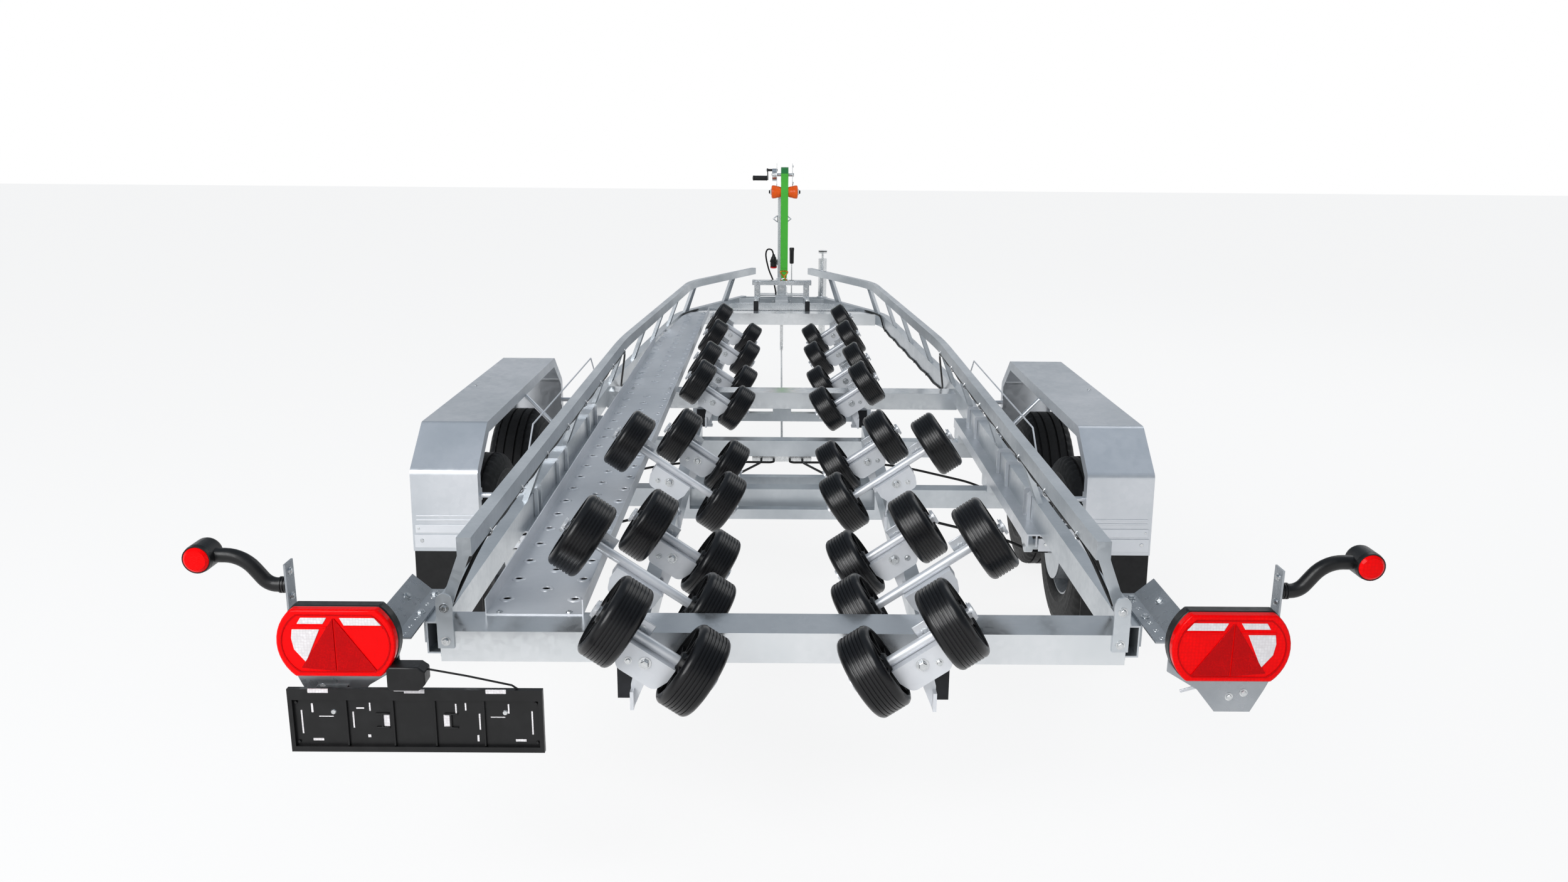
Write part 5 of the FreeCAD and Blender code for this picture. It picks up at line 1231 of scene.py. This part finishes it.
@dataclass
class WinchPost:
    """Winch gear, wound strap, hook, clamp ring, bow roller and the plug by the post."""

    x: float = 0.015
    drum: tuple[float, float] = (2.590, 1.528)
    crank: tuple[float, float] = (2.652, 1.558)
    plate_half: float = 0.070
    strap_half: float = 0.0249
    post_y: float = 2.600
    hook: tuple[float, float] = (2.475, 0.850)
    hook_bend: tuple[Point, ...] = (
        (-0.021, 0.012), (-0.023, 0.024), (0.0, 0.028), (0.023, 0.024), (0.021, 0.012), (0.008, -0.002),
        (0.004, -0.016), (0.012, -0.030), (0.024, -0.040), (0.016, -0.056), (-0.004, -0.058),
        (-0.018, -0.046), (-0.020, -0.030))
    hook_back: tuple[Point, ...] = ((-0.021, 0.012), (-0.008, -0.001), (0.001, -0.010))
    bow: tuple[float, float] = (2.514, 1.415)

    def bow_roller(self) -> None:
        """Builds the waisted bow roller with its grooves and end flanges."""
        y, z = self.bow
        lo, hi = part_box("bow_roller")
        half = (hi.x - lo.x) / 2
        roller = Solid("bow_roller_cast", Look.ORANGE, "bow_roller_body")
        profile = [(-half, 0.010), (-half, 0.036), (-half + 0.003, 0.042), (-half + 0.008, 0.0448),
                   (-half + 0.016, 0.0445)]
        for k in range(1, 13):
            t = k / 13
            u = -half + 0.016 + t * (half - 0.016)
            profile.append((u, 0.0445 - 0.0185 * t ** 1.3 - (0.0018 if k in (4, 8) else 0.0)))
        profile.append((0.0, 0.0255))
        profile += [(-u, r) for u, r in reversed(profile[:-1])]
        roller.lathe(profile, stand((self.x, y, z), (1, 0, 0)), 64)
        roller.piece(replaces=["bow_roller"])
        caps = Solid("bow_roller_caps", Look.HUB, "bow_roller_body")
        for side in (1, -1):
            caps.lathe([(0.0, 0.011), (0.0, 0.030), (0.0012, 0.030), (0.0012, 0.011)],
                       stand((self.x + side * (half - 0.0008), y, z), (side, 0, 0)), 40)
        caps.piece()
        ends = Solid("bow_roller_bolts", Look.CAP)
        for side in (1, -1):
            ends.hex((self.x + side * (half + 0.0085), y, z), (side, 0, 0), 0.019, 0.010)
        ends.piece()

    def winch(self) -> None:
        """Builds the drum's layers, the plates' bolts and ribs and the crank's grip."""
        y, z = self.drum
        # The wound layers take the darker webbing, which is painted shade on the drum.
        layers = Solid("winch_strap_layers", Look.WEB_SHADED, "drum_body")
        profile = [(-0.0248, 0.030), (-0.0250, 0.0498), (-0.0240, 0.0512), (0.0, 0.0520), (0.0240, 0.0512),
                   (0.0250, 0.0498), (0.0248, 0.030)]
        layers.lathe(profile, stand((self.x, y, z), (1, 0, 0)), 64)
        for k in range(5):
            r = 0.032 + 0.0038 * k
            for side in (1, -1):
                layers.lathe([(0, r), (0.0006, r + 0.0006), (0.0006, r + 0.0022), (0, r + 0.0028)],
                             stand((self.x + side * 0.0249, y, z), (side, 0, 0)), 48)
        layers.piece()
        gear = Solid("winch_hardware", Look.ZINC)
        for at_y, at_z, size in ((*self.drum, 0.019), (2.565, 1.472, 0.013), (2.640, 1.472, 0.013),
                                 (2.540, 1.585, 0.010), (2.640, 1.585, 0.010)):
            gear.hex((self.plate_half + 0.0002, at_y, at_z), (1, 0, 0), size, size * 0.5)
        gear.hex((-self.plate_half - 0.0002, y, z), (-1, 0, 0), 0.013, 0.006)
        gear.hex((-0.1082, *self.crank), (-1, 0, 0), 0.013, 0.006)
        for k in range(3):
            r = 0.024 + 0.005 * k
            gear.lathe([(0, r), (0.0012, r + 0.0005), (0.0012, r + 0.0018), (0, r + 0.0023)],
                       stand((-self.plate_half, y, z), (-1, 0, 0)), 40)
        gear.piece()
        grip = Solid("winch_grip", Look.PLASTIC, "crank_body")
        grip_frame = stand((-0.108, 2.830, 1.498), (-1, 0, 0))
        profile = [(-0.001, 0.0141), (-0.001, 0.0172), (0.004, 0.0180)]
        for k in range(9):
            u = 0.010 + 0.0095 * k
            profile += [(u, 0.0166), (u + 0.0035, 0.0174), (u + 0.006, 0.0174)]
        profile += [(0.098, 0.0180), (0.1015, 0.0172), (0.1025, 0.0130)]
        grip.lathe(profile, grip_frame, 28)
        grip.lathe([(0.100, 0), (0.100, 0.014), (0.103, 0.0125), (0.1045, 0.006), (0.1045, 0)],
                   grip_frame, 28)
        grip.piece()

    def strap(self) -> None:
        """Builds the strap's stitched end and the hook below it."""
        y, z = self.hook
        x = self.x
        half = self.strap_half
        stitched = Solid("winch_strap_stitched_end", Look.WEB)
        stitched.box((x - half, y - 0.0042, 0.900), (x + half, y - 0.0013, 0.955))
        stitched.box((x - half, y + 0.0013, 0.905), (x + half, y + 0.0042, 0.950))
        stitched.piece(bevel=0.0006)
        hook = Solid("winch_hook", Look.BRASS)
        for bend in (self.hook_bend, self.hook_back):
            hook.tube(smooth_path([(x + dx, y, z + dz) for dx, dz in bend], 6), 0.0052, 12)
        hook.lathe([(-0.009, 0.0), (-0.009, 0.0090), (0.009, 0.0075), (0.009, 0.0)],
                   stand((x + 0.004, y, z - 0.010), (0, 0, 1)), 20)
        hook.piece()
        latch = Solid("winch_hook_latch", Look.ZINC)
        latch.tube([(x + 0.006, y - 0.004, z - 0.020), (x - 0.017, y - 0.003, z - 0.030)], 0.0028, 8)
        latch.piece()

    def post(self) -> None:
        """Builds the clamp ring, the post's bolts, stand caps and riser bolts."""
        clamp = Solid("winch_post_clamp", Look.SHEET)
        o, i = 0.0345, 0.0302
        for a, b in (((-o, -o), (o, -i)), ((-o, i), (o, o)), ((-o, -o), (-i, o)), ((i, -o), (o, o))):
            clamp.box((a[0], self.post_y + a[1], 1.205), (b[0], self.post_y + b[1], 1.250))
        for side in (1, -1):
            eye = [(side * 0.0345, 1.248), (side * 0.062, 1.2275), (side * 0.0345, 1.207)]
            clamp.tube([(x, self.post_y, z) for x, z in eye], 0.0045, 8)
        clamp.piece(bevel=0.0012)
        bolts = Solid("winch_post_bolts", Look.ZINC)
        for x in (-0.020, 0.020):
            bolts.hex((x, 2.5655, 1.2275), (0, -1, 0), 0.013, 0.007)
        for z in (0.745, 1.360):
            bolts.hex((0.0, 2.570, z), (0, -1, 0), 0.017, 0.008)
        for side in (1, -1):
            for y in (2.300, 2.620):
                bolts.hex((side * 0.175, y + 0.030, 0.695), (0, 0, 1), 0.017, 0.009)
            for z in (0.722, 0.758):
                bolts.hex((side * 0.170, 2.430, z), (0, -1, 0), 0.013, 0.007)
        bolts.piece()
        bars = Solid("winch_stand_bars", Look.TUBE)
        for side in (1, -1):
            x0, x1 = sorted((side * 0.028, side * 0.196))
            bars.box((x0, 2.4200, 0.788), (x1, 2.4290, 0.812))
        bars.piece(bevel=0.002)
        caps = Solid("winch_stand_caps", Look.CAP)
        for side in (1, -1):
            for y0, y1 in ((2.2455, 2.262), (2.708, 2.7245)):
                caps.box((side * 0.175 - 0.0165, y0, 0.6285), (side * 0.175 + 0.0165, y1, 0.6965))
        caps.piece(bevel=0.003)

    def socket(self) -> None:
        """Builds the plug and socket that hang by the post, with their curved cable."""
        frame = stand((-0.058, 2.528, 0.905), (0, -0.15, 1))
        body = Solid("trailer_plug", Look.PLASTIC)
        body.lathe([(0, 0), (0, 0.019), (0.004, 0.022), (0.030, 0.022), (0.034, 0.026), (0.040, 0.026),
                    (0.044, 0.022), (0.050, 0.022), (0.050, 0)], frame, 28)
        body.lathe([(0.050, 0), (0.050, 0.0195), (0.062, 0.018), (0.072, 0.011), (0.084, 0.0095), (0.084, 0)],
                   frame, 24)
        for k in range(10):
            a = math.radians(36 * k)
            x, y = math.cos(a), math.sin(a)
            body.box((0.0205 * x - 0.0012, 0.0205 * y - 0.0012, 0.006),
                     (0.0225 * x + 0.0012, 0.0225 * y + 0.0012, 0.028), frame)
        body.piece()
        red = Solid("trailer_plug_ring", Look.SOCKET_RED)
        red.lathe([(-0.010, 0.010), (-0.010, 0.0225), (-0.0005, 0.0235), (-0.0005, 0.010)], frame, 28)
        red.piece()
        cable = Solid("trailer_plug_cable", Look.CABLE)
        route = [(-0.058, 2.516, 0.985), (-0.072, 2.512, 1.020), (-0.102, 2.520, 1.020),
                 (-0.112, 2.545, 0.975), (-0.092, 2.570, 0.880), (-0.060, 2.5665, 0.800),
                 (-0.044, 2.566, 0.730), (-0.042, 2.600, 0.700)]
        cable.tube(smooth_path(route, 8), 0.0055, 12)
        cable.piece()
        holder = Solid("trailer_plug_holder", Look.SHEET)
        holder.box((-0.066, 2.553, 0.915), (-0.0302, 2.556, 0.945))
        holder.box((-0.0345, 2.553, 0.910), (-0.0302, 2.600, 0.950))
        holder.piece(bevel=0.001)

    def build(self) -> None:
        """Builds everything on and by the post."""
        self.bow_roller()
        self.winch()
        self.strap()
        self.post()
        self.socket()


@dataclass
class Drawbar:
    """Bolts of the coupling, the hand brake's grip, and the jockey wheel's tyre, rim and knob."""

    coupling_z: float = 0.600
    jockey_x: float = 0.300
    jockey_y: float = 2.960
    wheel_y: float = 2.915
    wheel_radius: float = 0.100
    wheel_half: float = 0.030
    brake_x: float = 0.074
    brake_y: float = 3.105
    plate_bolts: tuple[float, ...] = (2.780, 2.880)
    head_bolts: tuple[float, ...] = (3.420, 3.470)

    def coupling(self) -> None:
        """Builds the coupling's bolts."""
        bolts = Solid("coupling_bolts", Look.ZINC)
        for y in self.plate_bolts:
            for side in (1, -1):
                for z in (self.coupling_z - 0.026, self.coupling_z + 0.026):
                    bolts.hex((side * 0.062, y, z), (0, -1, 0), 0.013, 0.008)
        for y in self.head_bolts:
            for side in (1, -1):
                bolts.hex((side * 0.030, y, self.coupling_z), (side, 0, 0), 0.017, 0.010)
        bolts.piece()

    def jockey(self) -> None:
        """Builds the jockey wheel's ribbed tyre and the screw's knob grip."""
        wheel = Solid("jockey_wheel_moulded", Look.TYRE, "jockey_wheel_body")
        h, r = self.wheel_half, self.wheel_radius
        half = [(h, 0.058), (h, 0.078), (h - 0.003, 0.088), (h - 0.008, 0.096), (h - 0.013, r - 0.001),
                (0.010, r), (0.008, r - 0.003), (0.005, r - 0.003), (0.003, r)]
        outline = half + [(-z, q) for z, q in reversed(half)]
        hub = stand((self.jockey_x, self.wheel_y, r), (1, 0, 0))
        wheel.lathe(outline + [(-h + 0.008, 0.054), (h - 0.008, 0.054)], hub, 56)
        wheel.piece()
        rim = Solid("jockey_wheel_rim", Look.RIM, "jockey_wheel_body")
        half = [(h + 0.001, 0.012), (h + 0.001, 0.020), (h - 0.006, 0.026), (h - 0.006, 0.048),
                (h - 0.001, 0.057)]
        rim.lathe(half + [(-z, q) for z, q in reversed(half)], hub, 40)
        rim.piece(replaces=["jockey_wheel"])
        grip = Solid("jockey_screw_grip", Look.PLASTIC)
        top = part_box("jockey_tube")[1].z
        knob = [(-0.0006, 0.0), (-0.0006, 0.026), (0.004, 0.031), (0.010, 0.031), (0.012, 0.026),
                (0.012, 0.0)]
        grip.lathe(knob, stand((self.jockey_x, self.jockey_y, top - 0.0125), (0, 0, 1)), 28)
        for dx, dy in ring(12, 0.0225):
            x, y = self.jockey_x + dx, self.jockey_y + dy
            grip.rod((x, y, top - 0.019), (x, y, top - 0.002), 0.0032, 8)
        grip.piece()

    def hand_brake(self) -> None:
        """Builds the lever's moulded grip."""
        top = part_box("hand_brake")[1].z
        grip = Solid("hand_brake_grip", Look.PLASTIC)
        profile = [(0.0, 0.0), (0.0, 0.013), (0.006, 0.016), (0.090, 0.0165), (0.110, 0.019), (0.118, 0.016),
                   (0.118, 0.0)]
        grip.lathe(profile, stand((self.brake_x, self.brake_y, top - 0.117), (0, 0, 1)), 24)
        grip.piece()

    def build(self) -> None:
        """Builds the drawbar's small parts."""
        self.hand_brake()
        self.coupling()
        self.jockey()


@dataclass
class Cradle:
    """Clamps, lugs and bolts of the cradle beams and their hanger bars."""

    beam_x: float = 0.365
    tie_y: float = -1.370
    hanger_x: float = 0.428
    hanger_y: float = -0.465

    def build(self) -> None:
        """Builds the bolts under the beams and on the hanger's brackets."""
        bolts = Solid("cradle_bolts", Look.ZINC)
        plates = Solid("cradle_plates", Look.SHEET)
        for side in (1, -1):
            for dy in (-0.034, 0.034):
                bolts.hex((side * self.beam_x, self.tie_y + dy, 0.4845), (0, 0, -1), 0.013, 0.007)
            for dy in (-0.032, 0.032):
                x, y = side * self.hanger_x, self.hanger_y + dy
                bolts.hex((x, y, 0.534), (0, 0, -1), 0.013, 0.007)
                plates.box((x - 0.010, y - 0.010, 0.532), (x + 0.010, y + 0.010, 0.5345))
        bolts.piece()
        plates.piece(bevel=0.0008)


@dataclass
class Studio:
    """Floor, lamps, world and the camera at the photograph's view."""

    floor_half: float = 40.0
    floor_hex: str = "f7f7f7"
    floor_white: float = 0.86
    light: float = 1.0
    heights: tuple[tuple[float, str], ...] = (
        (0.12, "ffffff"), (0.26, "b4bac1"), (0.5, "747d86"), (1.0, "a7b3c0"))  # sine of the height and colour
    lights: tuple[tuple[str, Point, float, float], ...] = (
        ("key", (-3.5, -8.0, 4.8), 4.0, 420.0), ("fill", (5.0, 2.0, 6.5), 5.0, 120.0))  # size in m and watts
    lights_at: Point = (0, -1, 0.6)

    def camera(self) -> None:
        """Sets the camera from the vanishing point of the trailer's length."""
        pitch = math.atan((IMAGE_H / 2 - VANISH_V) / FOCAL_PX)
        yaw = math.atan((IMAGE_W / 2 - VANISH_U) / FOCAL_PX)
        roll = math.radians(CAMERA_ROLL_DEG)
        forward = Vector((math.sin(yaw) * math.cos(pitch), math.cos(yaw) * math.cos(pitch), -math.sin(pitch)))
        right = Vector((math.cos(yaw), -math.sin(yaw), 0.0))
        up = right.cross(forward)
        right_rolled = right * math.cos(roll) + up * math.sin(roll)
        up_rolled = up * math.cos(roll) - right * math.sin(roll)
        data = bpy.data.cameras.new("camera")
        data.sensor_width = SENSOR_MM
        data.sensor_fit = "HORIZONTAL"
        data.lens = FOCAL_PX / IMAGE_W * SENSOR_MM
        data.clip_end = 200.0
        obj = bpy.data.objects.new("camera", data)
        rows = Matrix((right_rolled, up_rolled, -forward)).transposed().to_4x4()
        obj.matrix_world = Matrix.Translation(Vector(CAMERA_AT)) @ rows
        bpy.context.scene.collection.objects.link(obj)
        bpy.context.scene.camera = obj

    def shown(self, tree: Tree) -> Socket:
        """Returns 1 for rays from the camera, off gloss and through lenses, and 0 for the rest."""
        path = add_node(tree, "ShaderNodeLightPath")
        seen = add_node(tree, "ShaderNodeMath", {"operation": "MAXIMUM"},
                        {0: path.outputs["Is Camera Ray"], 1: path.outputs["Is Glossy Ray"]})
        return add_node(tree, "ShaderNodeMath", {"operation": "MAXIMUM"},
                        {0: seen.outputs[0], 1: path.outputs["Is Transmission Ray"]}).outputs[0]

    def floor(self) -> None:
        """Lays a pale floor that keeps the trailer's soft shadow."""
        mesh = bpy.data.meshes.new("floor")
        h = self.floor_half
        mesh.from_pydata([(-h, -h, 0), (h, -h, 0), (h, h, 0), (-h, h, 0)], [], [(0, 1, 2, 3)])
        obj = bpy.data.objects.new("floor", mesh)
        bpy.context.scene.collection.objects.link(obj)
        material = bpy.data.materials.new("floor_painted_matt")
        material.use_nodes = True
        tree = material.node_tree
        tree.nodes.clear()
        shader = add_node(tree, "ShaderNodeBsdfDiffuse", {"Color": linear(self.floor_hex)})
        white = add_node(tree, "ShaderNodeEmission", {"Color": linear("ffffff"), "Strength": 1.0})
        share = add_node(tree, "ShaderNodeMath", {"operation": "MULTIPLY", 1: self.floor_white},
                         {0: self.shown(tree)})
        mix = add_node(tree, "ShaderNodeMixShader", None,
                       {0: share.outputs[0], 1: shader.outputs["BSDF"], 2: white.outputs["Emission"]})
        add_node(tree, "ShaderNodeOutputMaterial", None, {"Surface": mix.outputs[0]})
        mesh.materials.append(material)

    def world(self) -> None:
        """Gives light from a white backdrop under a darker ceiling, alike in view, gloss and lenses."""
        world = bpy.data.worlds.new("studio")
        bpy.context.scene.world = world
        world.use_nodes = True
        tree = world.node_tree
        tree.nodes.clear()
        place = add_node(tree, "ShaderNodeTexCoord")
        height = add_node(tree, "ShaderNodeSeparateXYZ", None, {0: place.outputs["Generated"]})
        ramp = add_node(tree, "ShaderNodeValToRGB", None, {0: height.outputs["Z"]})
        stops = ramp.color_ramp.elements
        for index, (level, colour) in enumerate(self.heights):
            stop = stops[index] if index < len(stops) else stops.new(level)
            stop.position = level
            stop.color = linear(colour)
        shade = {"Color": ramp.outputs["Color"]}
        light = add_node(tree, "ShaderNodeBackground", {"Strength": self.light}, shade)
        white = add_node(tree, "ShaderNodeBackground", {"Strength": 1.0}, shade)
        mix = add_node(tree, "ShaderNodeMixShader", None,
                       {0: self.shown(tree), 1: light.outputs[0], 2: white.outputs[0]})
        add_node(tree, "ShaderNodeOutputWorld", None, {"Surface": mix.outputs[0]})

    def lamps(self) -> None:
        """Hangs two large soft lamps, one behind the camera's left and one over the front."""
        for name, at, size, watts in self.lights:
            data = bpy.data.lights.new(name, "AREA")
            data.size = size
            data.energy = watts
            obj = bpy.data.objects.new(name, data)
            obj.location = at
            aim = Vector(self.lights_at) - Vector(at)
            obj.rotation_euler = aim.to_track_quat("-Z", "Y").to_euler()
            bpy.context.scene.collection.objects.link(obj)

    def build(self) -> None:
        """Builds the whole studio."""
        self.camera()
        self.floor()
        self.world()
        self.lamps()
        bpy.context.scene.view_settings.view_transform = "Standard"


def main() -> None:
    """Builds the dressed trailer around its frame."""
    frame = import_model()
    Studio().build()
    dress_frame(frame["nodes"])
    joints = frame["record"]["behaviour"]["joints"]
    places = ("rear_right", "rear_left", "front_right", "front_left")
    wheels = [("tyre_" + place, "wheel_" + place) for place in places]
    assemblies = [Rollers(roller_rows(joints)), RoadWheels(wheels), Mudguards(), Walkway(),
                  SideFrames(FramePath()), Crossbeams(), Cradle(), RearLamps(), MarkerLamps(), LampArms(),
                  PlateHolder(), WinchPost(), Drawbar()]
    for assembly in assemblies:
        LOG.info("building %s", type(assembly).__name__)
        assembly.build()


if __name__ == "__main__":
    main()
